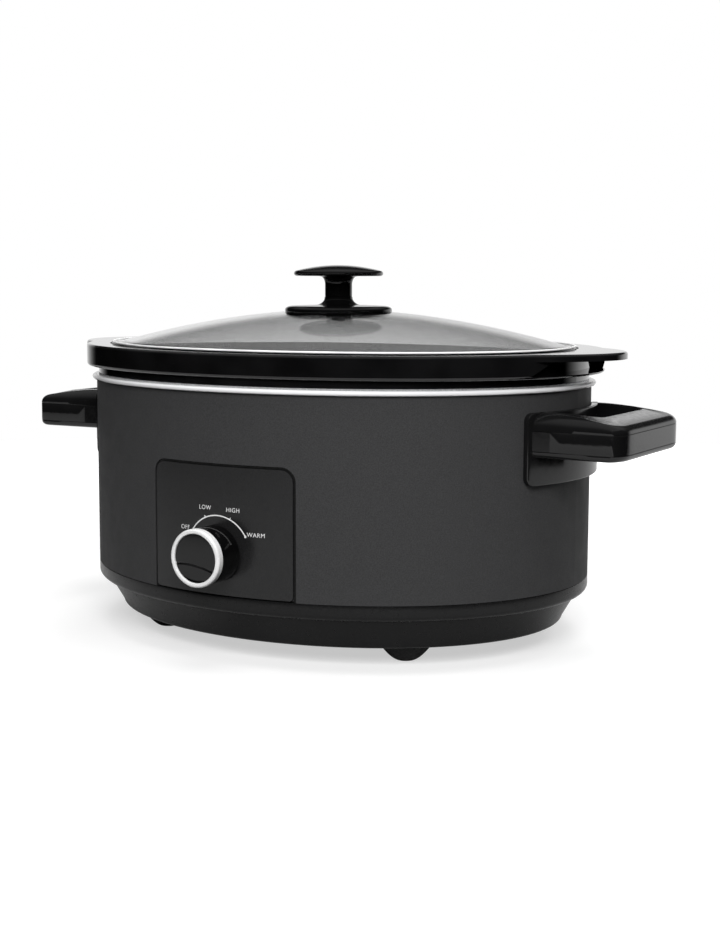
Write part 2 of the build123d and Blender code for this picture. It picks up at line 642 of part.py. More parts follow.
def build_crock():
    rim_x = BODY_HALF_X + RIM_OVER_X
    rim_y = BODY_HALF_Y + RIM_OVER_Y
    lug_x = BODY_HALF_X + LUG_OVER_X
    lug_foot = RIM_TOP - LUG_THICK
    rim = ellipse_block(rim_x, rim_y, RIM_FOOT, RIM_TOP)
    rim = fillet(rim.edges().filter_by(GeomType.ELLIPSE).sort_by(Axis.Z)[0], RIM_ROUND)
    rim += ellipse_block(lug_x, LUG_HALF_Y, lug_foot, RIM_TOP)
    rim = fillet(rim.edges().filter_by(is_lug_corner), LUG_CORNER)
    rim = fillet(rim.edges().filter_by(lambda edge: edge.center().Z > RIM_TOP - 0.01), RIM_ROUND)
    sill = RIM_FOOT + POCKET_SILL
    throat_y = BODY_HALF_Y - NECK_INSET
    throat = ellipse_block(rim_x - POCKET_DEPTH, throat_y, RIM_FOOT - CUT, RIM_TOP)
    wedge = Polyline(
        (0, -POCKET_FOOT_HALF_Y, sill),
        (0, POCKET_FOOT_HALF_Y, sill),
        (0, POCKET_HEAD_HALF_Y, lug_foot),
        (0, -POCKET_HEAD_HALF_Y, lug_foot),
        close=True,
    )
    pocket = extrude(make_face(wedge), lug_x + CUT, both=True, dir=(1, 0, 0))
    rim -= pocket - throat
    neck = oval_block(NECK_INSET, NECK_FOOT, RIM_FOOT + OVERLAP)
    floor_under = LINER_FLOOR + CROCK_CLEARANCE
    outer_foot = liner_inset(floor_under) + CROCK_CLEARANCE
    pot = oval_cone([(NECK_FOOT + OVERLAP, CROCK_INSET), (floor_under, outer_foot)])
    pot = fillet(pot.edges().sort_by(Axis.Z)[0], CROCK_CORNER)
    recess = ellipse_block(LID_X + LID_GAP, LID_Y + LID_GAP, LEDGE, RIM_TOP + CUT)
    floor_z = floor_under + CROCK_FLOOR
    bore_top = CROCK_INSET + CROCK_WALL
    bore = oval_cone([(RIM_TOP + CUT, bore_top), (floor_z, outer_foot + CROCK_WALL)])
    bore = fillet(bore.edges().sort_by(Axis.Z)[0], CROCK_CORNER)
    return rim + neck + pot - recess - bore


def build_lid_glass():
    flange = ellipse_block(LID_X, LID_Y, FLANGE_FOOT, FLANGE_TOP)
    flange = fillet(flange.edges().filter_by(GeomType.ELLIPSE), FLANGE_ROUND)
    glass = flange + dome(DOME_X, DOME_Y, FLANGE_TOP)
    glass -= dome(DOME_X - GLASS, DOME_Y - GLASS, FLANGE_TOP - GLASS)
    glass -= ellipse_block(DOME_X - GLASS, DOME_Y - GLASS, FLANGE_FOOT - CUT, FLANGE_TOP - GLASS)
    return glass - rod(Plane.XY, LID_SCREW_R + HOLE_GAP, DOME_TOP - DOME_RISE, DOME_TOP + CUT)


def build_lid_knob():
    """Plate and collar on the glass, and the grip that screws down on them."""
    plate_top = DOME_TOP + PLATE_TOP_RISE
    edge = plate_top - PLATE_EDGE_DROP
    low = DOME_TOP - DOME_RISE / 2
    joint = DOME_TOP + COLLAR_TOP_RISE
    plate = Polyline((0, 0, joint), (0, 0, low), (PLATE_EDGE_R, 0, low), (PLATE_EDGE_R, 0, edge))
    plate += ThreePointArc(
        (PLATE_EDGE_R, 0, edge),
        ((PLATE_EDGE_R + PLATE_TOP_R) / 2 + PLATE_BULGE, 0, edge + PLATE_BULGE_UP),
        (PLATE_TOP_R, 0, plate_top),
    )
    collar_foot = (COLLAR_FOOT_R, 0, plate_top + PLATE_DISH)
    plate += Line((PLATE_TOP_R, 0, plate_top), collar_foot)
    hollow_out, hollow_up = COLLAR_HOLLOW
    collar_top = (STEM_R + COLLAR_LAP, 0, joint)
    plate += ThreePointArc(collar_foot, (STEM_R + hollow_out, 0, plate_top + hollow_up), collar_top)
    plate += Line(collar_top, (0, 0, joint))
    base = turned(plate) - dome(DOME_X, DOME_Y, FLANGE_TOP + SEAT_GAP)
    base -= rod(Plane.XY, LID_SCREW_R + HOLE_GAP, low, joint + CUT)
    under = joint + STEM_HEIGHT + CAP_UNDER_RISE
    widest = under + CAP_UNDER
    top = widest + CAP_DOME
    flare_out, flare_up = STEM_FLARE_MIDDLE
    flare_foot = (STEM_R, 0, joint + STEM_FLARE_RISE)
    flare_top = (STEM_HEAD_R, 0, joint + STEM_HEIGHT)
    grip = Polyline((0, 0, top), (0, 0, joint), (STEM_R, 0, joint), flare_foot)
    grip += ThreePointArc(flare_foot, (STEM_R + flare_out, 0, joint + flare_up), flare_top)
    under_edge = (CAP_UNDER_FLAT_R, 0, under)
    grip += Line(flare_top, under_edge)
    rim = (CAP_R, 0, widest)
    under_in, under_up = CAP_UNDER_MIDDLE
    grip += ThreePointArc(under_edge, (CAP_R - under_in, 0, under + under_up), rim)
    edge_in, edge_up = CAP_EDGE_MIDDLE
    top_in, top_up = CAP_EDGE_TOP
    shoulder = (CAP_R - top_in, 0, widest + top_up)
    grip += ThreePointArc(rim, (CAP_R - edge_in, 0, widest + edge_up), shoulder)
    grip += Spline(
        shoulder,
        (CAP_R / 2, 0, widest + CAP_DOME_MIDDLE),
        (0, 0, top),
        tangents=[(-1, 0, CAP_DOME_SLOPE), (-1, 0, 0)],
    )
    bore_top = joint + LID_SCREW_BITE
    handle = turned(grip) - rod(Plane.XY, LID_SCREW_R + THREAD_GAP, joint - CUT, bore_top)
    return base, handle


def build_lid_fixings():
    """Screw through the glass into the lid knob, and the soft washer under its head."""
    sag = DOME_RISE * (LID_WASHER_R / (DOME_Y - GLASS)) ** DOME_POWER
    washer_top = DOME_TOP - GLASS - sag
    head_top = washer_top - LID_WASHER
    washer = rod(Plane.XY, LID_WASHER_R, head_top, washer_top)
    washer -= rod(Plane.XY, LID_SCREW_R + HOLE_GAP, head_top - CUT, washer_top + CUT)
    head = rod(Plane.XY, LID_SCREW_HEAD_R, head_top - LID_SCREW_HEAD, head_top)
    tip = DOME_TOP + COLLAR_TOP_RISE + LID_SCREW_BITE - OVERLAP
    return washer, head + rod(Plane.XY, LID_SCREW_R, head_top - OVERLAP, tip)


studs, spacers, nuts = build_studs()
fuse, fuse_clip = build_thermal_fuse()
switch, switch_nut, shaft = build_switch()
knob, knob_ring, knob_face = build_control_knob()
lid_base, lid_grip = build_lid_knob()
lid_washer, lid_screw = build_lid_fixings()
handle = build_handle()
backing = build_backing_plate()

nodes = {
    "base_pan": build_base_pan(),
    "outer_shell": build_outer_shell(),
    "trim_ring": build_trim_ring(),
    "heating_liner": build_heating_liner(),
    "heater_band": build_heater_band(),
    "liner_studs": studs,
    "stud_spacers": spacers,
    "stud_nuts": nuts,
    "thermal_fuse": fuse,
    "fuse_clip": fuse_clip,
    "terminal_block": build_terminal_block(),
    "cord_gland": build_cord_gland(),
    "control_panel": build_control_panel(),
    "rotary_switch": switch,
    "switch_nut": switch_nut,
    "switch_shaft": shaft,
    "control_knob": knob,
    "knob_trim_ring": knob_ring,
    "knob_face": knob_face,
    "handle_right": handle,
    "handle_left": mirror(handle, Plane.YZ),
    "handle_plate_right": backing,
    "handle_plate_left": mirror(backing, Plane.YZ),
    "handle_screws": build_handle_screws(),
    "crock": build_crock(),
    "lid_glass": build_lid_glass(),
    "lid_knob_base": lid_base,
    "lid_knob_grip": lid_grip,
    "lid_knob_screw": lid_screw,
    "lid_knob_washer": lid_washer,
}
for side_x, side in ((-FOOT_X, "left"), (FOOT_X, "right")):
    for side_y, end in ((-FOOT_Y, "front"), (FOOT_Y, "rear")):
        nodes[f"foot_{end}_{side}"] = build_foot(side_x, side_y)

os.makedirs("parts", exist_ok=True)
for name, shape in nodes.items():
    export_step(shape, f"parts/{name}.step")
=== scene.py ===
from math import cos, pi, radians, sin, sqrt

import bmesh
import bpy
from mathutils import Matrix, Vector


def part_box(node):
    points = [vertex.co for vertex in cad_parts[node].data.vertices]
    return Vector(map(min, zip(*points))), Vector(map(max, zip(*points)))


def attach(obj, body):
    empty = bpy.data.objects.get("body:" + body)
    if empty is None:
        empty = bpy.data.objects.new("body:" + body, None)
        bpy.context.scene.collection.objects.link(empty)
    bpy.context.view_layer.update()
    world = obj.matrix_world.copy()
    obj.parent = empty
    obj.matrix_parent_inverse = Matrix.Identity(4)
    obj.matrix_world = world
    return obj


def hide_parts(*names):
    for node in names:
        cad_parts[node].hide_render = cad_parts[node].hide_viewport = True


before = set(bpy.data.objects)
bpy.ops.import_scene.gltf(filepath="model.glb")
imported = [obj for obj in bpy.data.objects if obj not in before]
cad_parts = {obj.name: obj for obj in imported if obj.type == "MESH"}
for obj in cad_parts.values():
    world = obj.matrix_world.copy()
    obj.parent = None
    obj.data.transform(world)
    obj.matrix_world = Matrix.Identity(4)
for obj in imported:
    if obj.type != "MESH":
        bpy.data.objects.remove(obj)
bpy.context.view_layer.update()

bl_info = {
    "name": "Oval Slow Cooker",
    "version": (1, 0, 0),
    "blender": (4, 5, 0),
    "location": "View3D > Sidebar > Slow Cooker",
    "description": "Builds the finished look of an oval slow cooker round its packed frame",
    "category": "Object",
}

MM = 0.001
HAIR = 0.05 * MM  # keeps two faces from lying on each other
LAP = 1 * MM  # how far two pieces of one moulding run into each other

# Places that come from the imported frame
SHELL_LOW, SHELL_HIGH = (Vector(corner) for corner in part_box("outer_shell"))
SHELL_X = SHELL_HIGH.x
SHELL_Y = SHELL_HIGH.y
SHELL_FOOT = SHELL_LOW.z
SHELL_TOP = SHELL_HIGH.z
BASE_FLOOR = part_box("base_pan")[0][2]
TRIM_HIGH = Vector(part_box("trim_ring")[1])
HANDLE_LOW, HANDLE_HIGH = (Vector(corner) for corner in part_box("handle_right"))
LID_LOW, LID_HIGH = (Vector(corner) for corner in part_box("lid_glass"))
KNOB_HIGH = Vector(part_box("control_knob")[1])
RING_LOW, RING_HIGH = (Vector(corner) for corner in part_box("knob_trim_ring"))
FACE_LOW = Vector(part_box("knob_face")[0])
PANEL_HIGH = Vector(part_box("control_panel")[1])
FOOT_LOW, FOOT_HIGH = (Vector(corner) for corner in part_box("foot_rear_right"))
DIAL_Z = (RING_LOW.z + RING_HIGH.z) / 2


# ---------------------------------------------------------------- sizes and colours

def colour_prop(name, text, value):
    return bpy.props.FloatVectorProperty(
        name=name, description=text, subtype="COLOR", size=3, min=0, max=1, default=value
    )


def length_prop(name, text, value_mm):
    return bpy.props.FloatProperty(
        name=name, description=text, subtype="DISTANCE", unit="LENGTH", min=0, default=value_mm * MM
    )


def angle_prop(name, text, value_degrees):
    return bpy.props.FloatProperty(
        name=name, description=text, subtype="ANGLE", unit="ROTATION", default=radians(value_degrees)
    )


def power_prop(name, text, value):
    return bpy.props.FloatProperty(name=name, description=text, min=1, default=value)


class BaseSettings(bpy.types.PropertyGroup):
    """Heated base: shell, moulding, trim ring and feet."""

    shell_colour: colour_prop("Shell colour", "Powder coat of the steel shell", (0.043, 0.043, 0.044))
    shell_grain: length_prop("Shell grain", "Size of the powder coat's grain", 0.7)
    moulding_colour: colour_prop("Moulding colour", "Plastic of the base moulding", (0.006, 0.006, 0.0062))
    band_height: length_prop("Band height", "Upright band of the base moulding", 7.0)
    step_in: length_prop("Step in", "How far the band's lower edge turns in", 7.0)
    step_drop: length_prop("Step drop", "Height of the rounded lower edge", 4.5)
    skirt_in: length_prop("Skirt in", "How far the skirt leans in below the step", 10.0)
    heel: length_prop("Heel", "Rounded edge between skirt and floor", 3.0)
    wall: length_prop("Wall", "Wall of the base moulding", 2.6)
    floor_reach: length_prop("Floor reach", "How far the swept section reaches in under the floor", 22.0)
    trim_leaf: length_prop("Trim leaf", "Thickness of the trim ring's flat leaf", 1.2)
    trim_reach: length_prop("Trim reach", "How far the leaf reaches in from the shell's face", 7.0)
    trim_skirt: length_prop("Trim skirt", "How far the ring's skirt hangs down inside the shell", 8.0)
    trim_inset: length_prop("Trim inset", "From the shell's face to the skirt's outer face", 1.05)
    # Near-white colour of the trim ring: painted reflection in place of the plate's shine
    trim_painted_reflection_colour: colour_prop("Chrome colour", "Bright plate of the trim ring", (0.94, 0.94, 0.95))
    foot_colour: colour_prop("Foot colour", "Rubber of the feet", (0.014, 0.014, 0.014))
    foot_toe: length_prop("Foot toe", "Radius of a foot's flat end", 5.0)
    foot_swell: power_prop("Foot swell", "Exponent of a foot's rise from toe to top", 1.6)


class HandleSettings(bpy.types.PropertyGroup):
    """Loop handles at the sides."""

    colour: colour_prop("Handle colour", "Gloss plastic of the handles", (0.006, 0.006, 0.0062))
    half_width: length_prop("Half width", "Half width at the outer face", 56.5)
    root_half_width: length_prop("Root half width", "Half width where the arms meet the shell", 56.0)
    corner_x: length_prop("Corner outwards", "Outer corners' size away from the shell", 8.0)
    corner_y: length_prop("Corner across", "Outer corners' size along the bar", 15.0)
    seam: length_prop("Seam", "Depth of the two moulding seams round the loop", 0.3)
    gap_half_width: length_prop("Gap half width", "Half width of the finger gap", 42.0)
    gap_corner: length_prop("Gap corner", "Radius of the finger gap's corners", 9.0)
    bar: length_prop("Bar", "Width of the bar outside the finger gap", 21.0)
    face: length_prop("Face", "Height of the upright outer face", 13.0)
    under: length_prop("Under", "Height and width of the rounded lower edge", 4.0)
    height: length_prop("Height", "From the top of the handle to its underside", 28.5)
    top_slope: length_prop("Top slope", "How far the top falls from the shell to the outer face", 6.0)
    soft_edge: length_prop("Soft edge", "Rounding of the edges round the finger gap", 1.2)
    root_in: length_prop("Root in", "How far the arms start inside the handle's own box", 4.0)
    bracket_thick: length_prop("Bracket thickness", "Thickness of the bracket on the shell", 4.8)
    bracket_corner: length_prop("Bracket corner", "Corner radius of the bracket", 5.0)


class CrockSettings(bpy.types.PropertyGroup):
    """Crock, lid and lid knob."""

    glaze_colour: colour_prop("Glaze colour", "Glaze of the crock", (0.004, 0.004, 0.0042))
    glass_colour: colour_prop("Glass colour", "Tint of the lid", (0.94, 0.943, 0.943))
    glass_thick: length_prop("Glass thickness", "Thickness of the lid", 3.8)
    flange_x: length_prop("Flange at the ends", "Flat edge of the lid at the ends", 6.5)
    flange_y: length_prop("Flange at the front", "Flat edge of the lid at the front", 8.0)
    flange_thick: length_prop("Flange thickness", "Thickness of the lid's flat edge", 2.8)
    dome_power: power_prop("Dome power", "Exponent of the dome's fall towards its edge", 1.85)
    flange_round: length_prop("Flange round", "Rounding of the flat edge's rim", 1.2)
    # The rim bead carries the lid edge's painted highlight
    rim_bead: length_prop("Rim bead", "Radius of the ground bead on the lid's rim", 0.75)
    rim_bead_in: length_prop("Rim bead inset", "From the lid's rim to the middle of the bead", 0.9)
    screw_hole: length_prop("Screw hole", "Radius of the hole under the knob", 2.7)
    knob_colour: colour_prop("Knob colour", "Gloss plastic of the lid knob", (0.0025, 0.0025, 0.0026))
    plate_radius: length_prop("Plate radius", "Outer radius of the plate on the glass", 38.4)
    plate_rise: length_prop("Plate rise", "Top of the plate above the top of the dome", 2.5)
    plate_edge_drop: length_prop("Plate edge drop", "From the plate's top down to its edge", 2.6)
    stem_radius: length_prop("Stem radius", "Radius of the knob's stem", 9.75)
    stem_height: length_prop("Stem height", "From the plate's collar to the underside of the cap", 14.6)
    cap_radius: length_prop("Cap radius", "Outer radius of the knob's cap", 32.0)


class DialSettings(bpy.types.PropertyGroup):
    """Control panel and dial."""

    panel_colour: colour_prop("Panel colour", "Satin plastic of the control panel", (0.012, 0.012, 0.0124))
    print_colour: colour_prop("Print colour", "Ink of the dial's arc and words", (0.85, 0.85, 0.85))
    knob_colour: colour_prop("Dial colour", "Gloss plastic of the dial", (0.0022, 0.0022, 0.0023))
    arc_radius: length_prop("Arc radius", "Middle radius of the printed arc", 24.3)
    arc_width: length_prop("Arc width", "Width of the printed arc", 0.8)
    sweep: angle_prop("Sweep", "Half of the angle between the first and last setting", 60.0)
    tick: angle_prop("Tick", "Angle of the two middle settings' ticks", 23.2)
    word_height: length_prop("Word height", "Height of the printed capitals", 2.75)
    panel_half: length_prop("Panel half width", "Half width of the panel's face", 53.5)
    panel_corner: length_prop("Panel corner", "Radius of the panel's upper corners", 8.0)
    panel_flange: length_prop("Panel flange", "How far the hidden flange stands past the face", 4.5)
    # Width of the black strip in the panel's gap, which is a painted shadow
    painted_gap_shadow: length_prop("Gasket", "Width of the dark gasket round the panel", 1.6)
    ring_lip: length_prop("Ring lip", "Width of the bright ring's face", 3.1)
    groove: length_prop("Groove", "Depth and half width of the groove across the dial's face", 0.7)
    ink: length_prop("Ink", "Thickness of the printed ink", 0.05)


class StudioSettings(bpy.types.PropertyGroup):
    """Floor, lights and camera."""

    floor_colour: colour_prop("Floor colour", "Plain floor", (0.5, 0.5, 0.5))
    azimuth: angle_prop("Azimuth", "Camera's angle round the object from the front", 30.121)
    elevation: angle_prop("Elevation", "Camera's angle above the horizon", 7.065)
    roll: angle_prop("Roll", "Camera's roll", 0.202)
    distance: length_prop("Distance", "From the camera to the point it looks at", 1109.1)
    aim_side: length_prop("Aim to the side", "Point looked at, sideways from the middle", 15.8)
    aim_height: length_prop("Aim height", "Point looked at, above the floor", 115.8)
    lens: bpy.props.FloatProperty(name="Lens", description="Focal length in millimetres", default=59.17)


# ---------------------------------------------------------------- finishes

class Finish:
    """A node material round one Principled shader, with its patterns in Object coordinates."""

    def __init__(self, name, colour, roughness, **sockets):
        self.material = bpy.data.materials.new(name)
        self.material.use_nodes = True
        self.tree = self.material.node_tree
        self.shader = self.tree.nodes["Principled BSDF"]
        self.place = self.tree.nodes.new("ShaderNodeTexCoord").outputs["Object"]
        self.set("Base Color", (*colour, 1))
        self.set("Roughness", roughness)
        for socket, value in sockets.items():
            self.set(socket.replace("_", " "), value)

    def set(self, socket, value):
        self.shader.inputs[socket].default_value = value

    def stretched(self, stretch):
        """Object coordinates stretched along each axis."""
        mapping = self.tree.nodes.new("ShaderNodeMapping")
        mapping.inputs["Scale"].default_value = stretch
        self.tree.links.new(self.place, mapping.inputs["Vector"])
        return mapping.outputs["Vector"]

    def noise(self, size, detail=2.0, stretch=None):
        """Cloudy pattern whose lumps are about size across, in metres."""
        node = self.tree.nodes.new("ShaderNodeTexNoise")
        node.inputs["Scale"].default_value = 1 / size
        node.inputs["Detail"].default_value = detail
        self.tree.links.new(self.stretched(stretch) if stretch else self.place, node.inputs["Vector"])
        return node.outputs["Fac"]

    def speckle(self, size):
        """Cell pattern whose cells are about size across, in metres."""
        node = self.tree.nodes.new("ShaderNodeTexVoronoi")
        node.inputs["Scale"].default_value = 1 / size
        self.tree.links.new(self.place, node.inputs["Vector"])
        return node.outputs["Distance"]

    def ramped(self, source, low, high, source_low=0.35, source_high=0.65):
        """The pattern's useful middle stretched onto low to high."""
        node = self.tree.nodes.new("ShaderNodeMapRange")
        node.inputs["From Min"].default_value = source_low
        node.inputs["From Max"].default_value = source_high
        node.inputs["To Min"].default_value = low
        node.inputs["To Max"].default_value = high
        self.tree.links.new(source, node.inputs["Value"])
        return node.outputs["Result"]

    def rough(self, source, low, high):
        """Roughness that follows a pattern."""
        self.tree.links.new(self.ramped(source, low, high), self.shader.inputs["Roughness"])

    def tint(self, source, dark, light):
        """Base colour that follows a pattern between two shades."""
        node = self.tree.nodes.new("ShaderNodeMix")
        node.data_type = "RGBA"
        node.inputs["A"].default_value = (*dark, 1)
        node.inputs["B"].default_value = (*light, 1)
        self.tree.links.new(self.ramped(source, 0, 1), node.inputs["Factor"])
        self.tree.links.new(node.outputs["Result"], self.shader.inputs["Base Color"])

    def bump(self, source, height, strength=1.0):
        """Surface relief of the given height in metres, added to any relief already there."""
        node = self.tree.nodes.new("ShaderNodeBump")
        node.inputs["Strength"].default_value = strength
        node.inputs["Distance"].default_value = height
        self.tree.links.new(source, node.inputs["Height"])
        normal = self.shader.inputs["Normal"]
        if normal.links:
            self.tree.links.new(normal.links[0].from_socket, node.inputs["Normal"])
        self.tree.links.new(node.outputs["Normal"], normal)


def shaded(colour, factor):
    """A colour made darker or lighter by a factor."""
    return tuple(min(1.0, channel * factor) for channel in colour)


def powder_coat(settings):
    colour = tuple(settings.shell_colour)
    finish = Finish("charcoal_powder_coat", colour, 0.6, Specular_IOR_Level=0.24)
    grain = finish.noise(settings.shell_grain, detail=3)
    finish.tint(grain, shaded(colour, 0.84), shaded(colour, 1.16))
    finish.rough(finish.noise(12 * MM), 0.57, 0.63)
    finish.bump(grain, 0.05 * MM, 0.5)
    return finish.material


def moulded_gloss(name, colour, roughness, shine=0.5):
    """Black moulded plastic with a faint flow ripple and fine handling marks."""
    finish = Finish(name, colour, roughness, Specular_IOR_Level=shine)
    finish.rough(finish.noise(3 * MM, detail=4), roughness * 0.8, roughness * 1.25)
    finish.tint(finish.noise(22 * MM), shaded(colour, 0.92), shaded(colour, 1.1))
    finish.bump(finish.noise(9 * MM, detail=1), 0.01 * MM, 0.12)
    return finish.material


def satin_panel(settings):
    colour = tuple(settings.panel_colour)
    finish = Finish("satin_panel", colour, 0.24, Specular_IOR_Level=0.42)
    finish.rough(finish.noise(2 * MM, detail=4), 0.2, 0.27)
    finish.tint(finish.speckle(0.35 * MM), shaded(colour, 0.93), shaded(colour, 1.06))
    finish.bump(finish.speckle(0.35 * MM), 0.006 * MM, 0.5)
    return finish.material


# Near-white colour with little metal: painted reflection that keeps the part bright from every side
def chrome_painted_reflection(name, colour, roughness=0.07):
    finish = Finish(name, colour, roughness, Metallic=0.12)
    finish.rough(finish.noise(1.2 * MM, detail=3), roughness * 0.7, roughness * 1.5)
    finish.bump(finish.noise(6 * MM, detail=1), 0.01 * MM, 0.3)
    return finish.material


def silver_painted_reflection():
    """Silver-plated plastic of the dial's ring, near white with little metal: painted reflection that keeps
    it bright from every side, with a soft shine.
    """
    finish = Finish("silver_painted_reflection", (0.95, 0.95, 0.95), 0.24, Metallic=0.2)
    finish.rough(finish.noise(0.9 * MM, detail=3), 0.2, 0.28)
    finish.tint(finish.noise(4 * MM), (0.93, 0.93, 0.93), (0.97, 0.97, 0.97))
    finish.bump(finish.noise(0.6 * MM), 0.004 * MM, 0.4)
    return finish.material


def crock_glaze(settings):
    """Deep black glaze, a little wavy, with fine pinholes."""
    colour = tuple(settings.glaze_colour)
    finish = Finish("black_glaze", colour, 0.06, Coat_Weight=0.3, Coat_Roughness=0.03)
    finish.set("Specular IOR Level", 0.5)
    finish.tint(finish.noise(30 * MM, detail=3), shaded(colour, 0.8), shaded(colour, 1.5))
    finish.rough(finish.noise(5 * MM, detail=3), 0.04, 0.08)
    finish.bump(finish.noise(24 * MM, detail=1), 0.08 * MM, 0.25)
    finish.bump(finish.speckle(1.6 * MM), 0.01 * MM, 0.25)
    return finish.material


def tempered_glass(settings):
    colour = tuple(settings.glass_colour)
    finish = Finish("tempered_glass", colour, 0.0, Transmission_Weight=1.0, IOR=1.5)
    finish.rough(finish.noise(15 * MM, detail=3), 0.0, 0.006)
    finish.bump(finish.noise(60 * MM, detail=0), 0.05 * MM, 0.2)
    return finish.material


def edge_painted_highlight():
    """Opaque pale bead round the lid's edge: painted highlight in place of the light that the glass edge
    catches all the way round.
    """
    finish = Finish("edge_painted_highlight", (0.9, 0.9, 0.9), 0.3, Specular_IOR_Level=0.6)
    finish.rough(finish.noise(1.5 * MM, detail=3), 0.25, 0.4)
    finish.tint(finish.noise(25 * MM), (0.75, 0.75, 0.75), (0.95, 0.95, 0.95))
    return finish.material


def soft_rubber(name, colour):
    finish = Finish(name, colour, 0.6, Specular_IOR_Level=0.35)
    finish.rough(finish.noise(1.5 * MM, detail=3), 0.5, 0.72)
    finish.bump(finish.noise(0.8 * MM, detail=2), 0.03 * MM, 0.6)
    return finish.material


def drawn_aluminium():
    finish = Finish("drawn_aluminium", (0.72, 0.73, 0.74), 0.4, Metallic=0.7)
    drawn = finish.noise(1.0 * MM, detail=3, stretch=(1, 1, 0.04))
    finish.tint(drawn, (0.62, 0.63, 0.64), (0.8, 0.81, 0.82))
    finish.rough(drawn, 0.32, 0.48)
    finish.bump(drawn, 0.02 * MM, 0.5)
    return finish.material


def zinc_plate():
    finish = Finish("zinc_plate", (0.6, 0.6, 0.62), 0.35, Metallic=1.0)
    spangle = finish.speckle(2.5 * MM)
    finish.tint(spangle, (0.5, 0.51, 0.53), (0.7, 0.7, 0.7))
    finish.rough(spangle, 0.28, 0.45)
    finish.bump(finish.noise(1 * MM), 0.01 * MM, 0.5)
    return finish.material


def heater_wrap():
    finish = Finish("heater_wrap", (0.5, 0.48, 0.44), 0.45, Metallic=0.9)
    crease = finish.noise(6 * MM, detail=4, stretch=(1, 1, 3))
    finish.tint(crease, (0.38, 0.36, 0.33), (0.6, 0.58, 0.54))
    finish.rough(crease, 0.35, 0.55)
    finish.bump(crease, 0.4 * MM, 0.6)
    return finish.material


def pressed_insulator():
    finish = Finish("pressed_insulator", (0.7, 0.66, 0.56), 0.7)
    finish.tint(finish.noise(1.2 * MM, detail=4), (0.6, 0.56, 0.47), (0.76, 0.72, 0.62))
    finish.rough(finish.noise(2 * MM), 0.6, 0.8)
    finish.bump(finish.noise(0.6 * MM, detail=3), 0.03 * MM, 0.6)
    return finish.material


def printed_ink(settings):
    colour = tuple(settings.print_colour)
    finish = Finish("printed_ink", colour, 0.5, Specular_IOR_Level=0.3)
    finish.tint(finish.noise(0.4 * MM, detail=2), shaded(colour, 0.92), colour)
    finish.rough(finish.noise(0.8 * MM), 0.45, 0.6)
    return finish.material


def floor_paint(settings):
    colour = tuple(settings.floor_colour)
    finish = Finish("plain_floor", colour, 0.9, Specular_IOR_Level=0.1)
    finish.tint(finish.noise(0.5, detail=1), shaded(colour, 0.99), colour)
    length = finish.tree.nodes.new("ShaderNodeVectorMath")
    length.operation = "LENGTH"
    finish.tree.links.new(finish.place, length.inputs[0])
    finish.set("Emission Color", (1, 1, 1, 1))
    glow = finish.ramped(length.outputs["Value"], 0.55, 1.0, 0.5, 1.15)
    seen = finish.tree.nodes.new("ShaderNodeMath")
    seen.operation = "MULTIPLY"
    ray = finish.tree.nodes.new("ShaderNodeLightPath")
    finish.tree.links.new(glow, seen.inputs[0])
    finish.tree.links.new(ray.outputs["Is Camera Ray"], seen.inputs[1])
    finish.tree.links.new(seen.outputs["Value"], finish.shader.inputs["Emission Strength"])
    return finish.material


# ---------------------------------------------------------------- mesh making

def add_object(name, mesh, material, sharp_angle=40):
    """Links a finished mesh, with smooth faces and sharp edges past an angle."""
    mesh.name = name
    mesh.shade_smooth()
    mesh.set_sharp_from_angle(angle=radians(sharp_angle))
    mesh.materials.clear()
    mesh.materials.append(material)
    obj = bpy.data.objects.new(name, mesh)
    bpy.context.scene.collection.objects.link(obj)
    return obj


def mesh_from(verts, faces, recalc=True):
    """Mesh with merged doubles and outward faces."""
    mesh = bpy.data.meshes.new("piece")
    mesh.from_pydata([tuple(v) for v in verts], [], faces)
    work = bmesh.new()
    work.from_mesh(mesh)
    bmesh.ops.remove_doubles(work, verts=work.verts, dist=0.002 * MM)
    if recalc:
        bmesh.ops.recalc_face_normals(work, faces=work.faces)
    work.to_mesh(mesh)
    work.free()
    return mesh


def skin_rings(rings, loop=False, offset=0):
    """Quads between rings of equal length. With loop, the last ring joins the first."""
    count = len(rings[0])
    faces = []
    pairs = len(rings) if loop else len(rings) - 1
    for r in range(pairs):
        low = offset + r * count
        high = offset + ((r + 1) % len(rings)) * count
        for i in range(count):
            j = (i + 1) % count
            faces.append((low + i, low + j, high + j, high + i))
    return faces


def rings_mesh(rings, loop=False, capped=True):
    """Closed mesh through rings. Without loop, each end is closed on a pole."""
    verts = [point for ring in rings for point in ring]
    faces = skin_rings(rings, loop)
    if not loop and capped:
        count = len(rings[0])
        for ring, start in ((rings[0], 0), (rings[-1], len(rings) * count - count)):
            pole = len(verts)
            verts.append(sum((Vector(p) for p in ring), Vector()) / count)
            faces += [(pole, start + i, start + (i + 1) % count) for i in range(count)]
    return mesh_from(verts, faces)


def oval_ring(half_x, half_y, z, steps=160):
    turns = [2 * pi * i / steps for i in range(steps)]
    return [Vector((half_x * cos(t), half_y * sin(t), z)) for t in turns]


def lathe(profile, steps=96, axis="Z", centre=Vector()):
    """Rings of revolution. The profile gives (radius, height); axis Y runs its height towards the front."""
    rings = []
    for radius, height in profile:
        ring = oval_ring(max(radius, 0.001 * MM), max(radius, 0.001 * MM), height, steps)
        if axis == "Y":
            ring = [Vector((p.x, -p.z, p.y)) for p in ring]
        rings.append([p + centre for p in ring])
    return rings


def arc(centre, radius, start, end, steps, stretch=1.0):
    """Points (x, y) on an arc, angles in degrees. Stretch makes it longer along y."""
    turns = [radians(start + (end - start) * i / steps) for i in range(steps + 1)]
    return [(centre[0] + radius * cos(t), centre[1] + radius * stretch * sin(t)) for t in turns]


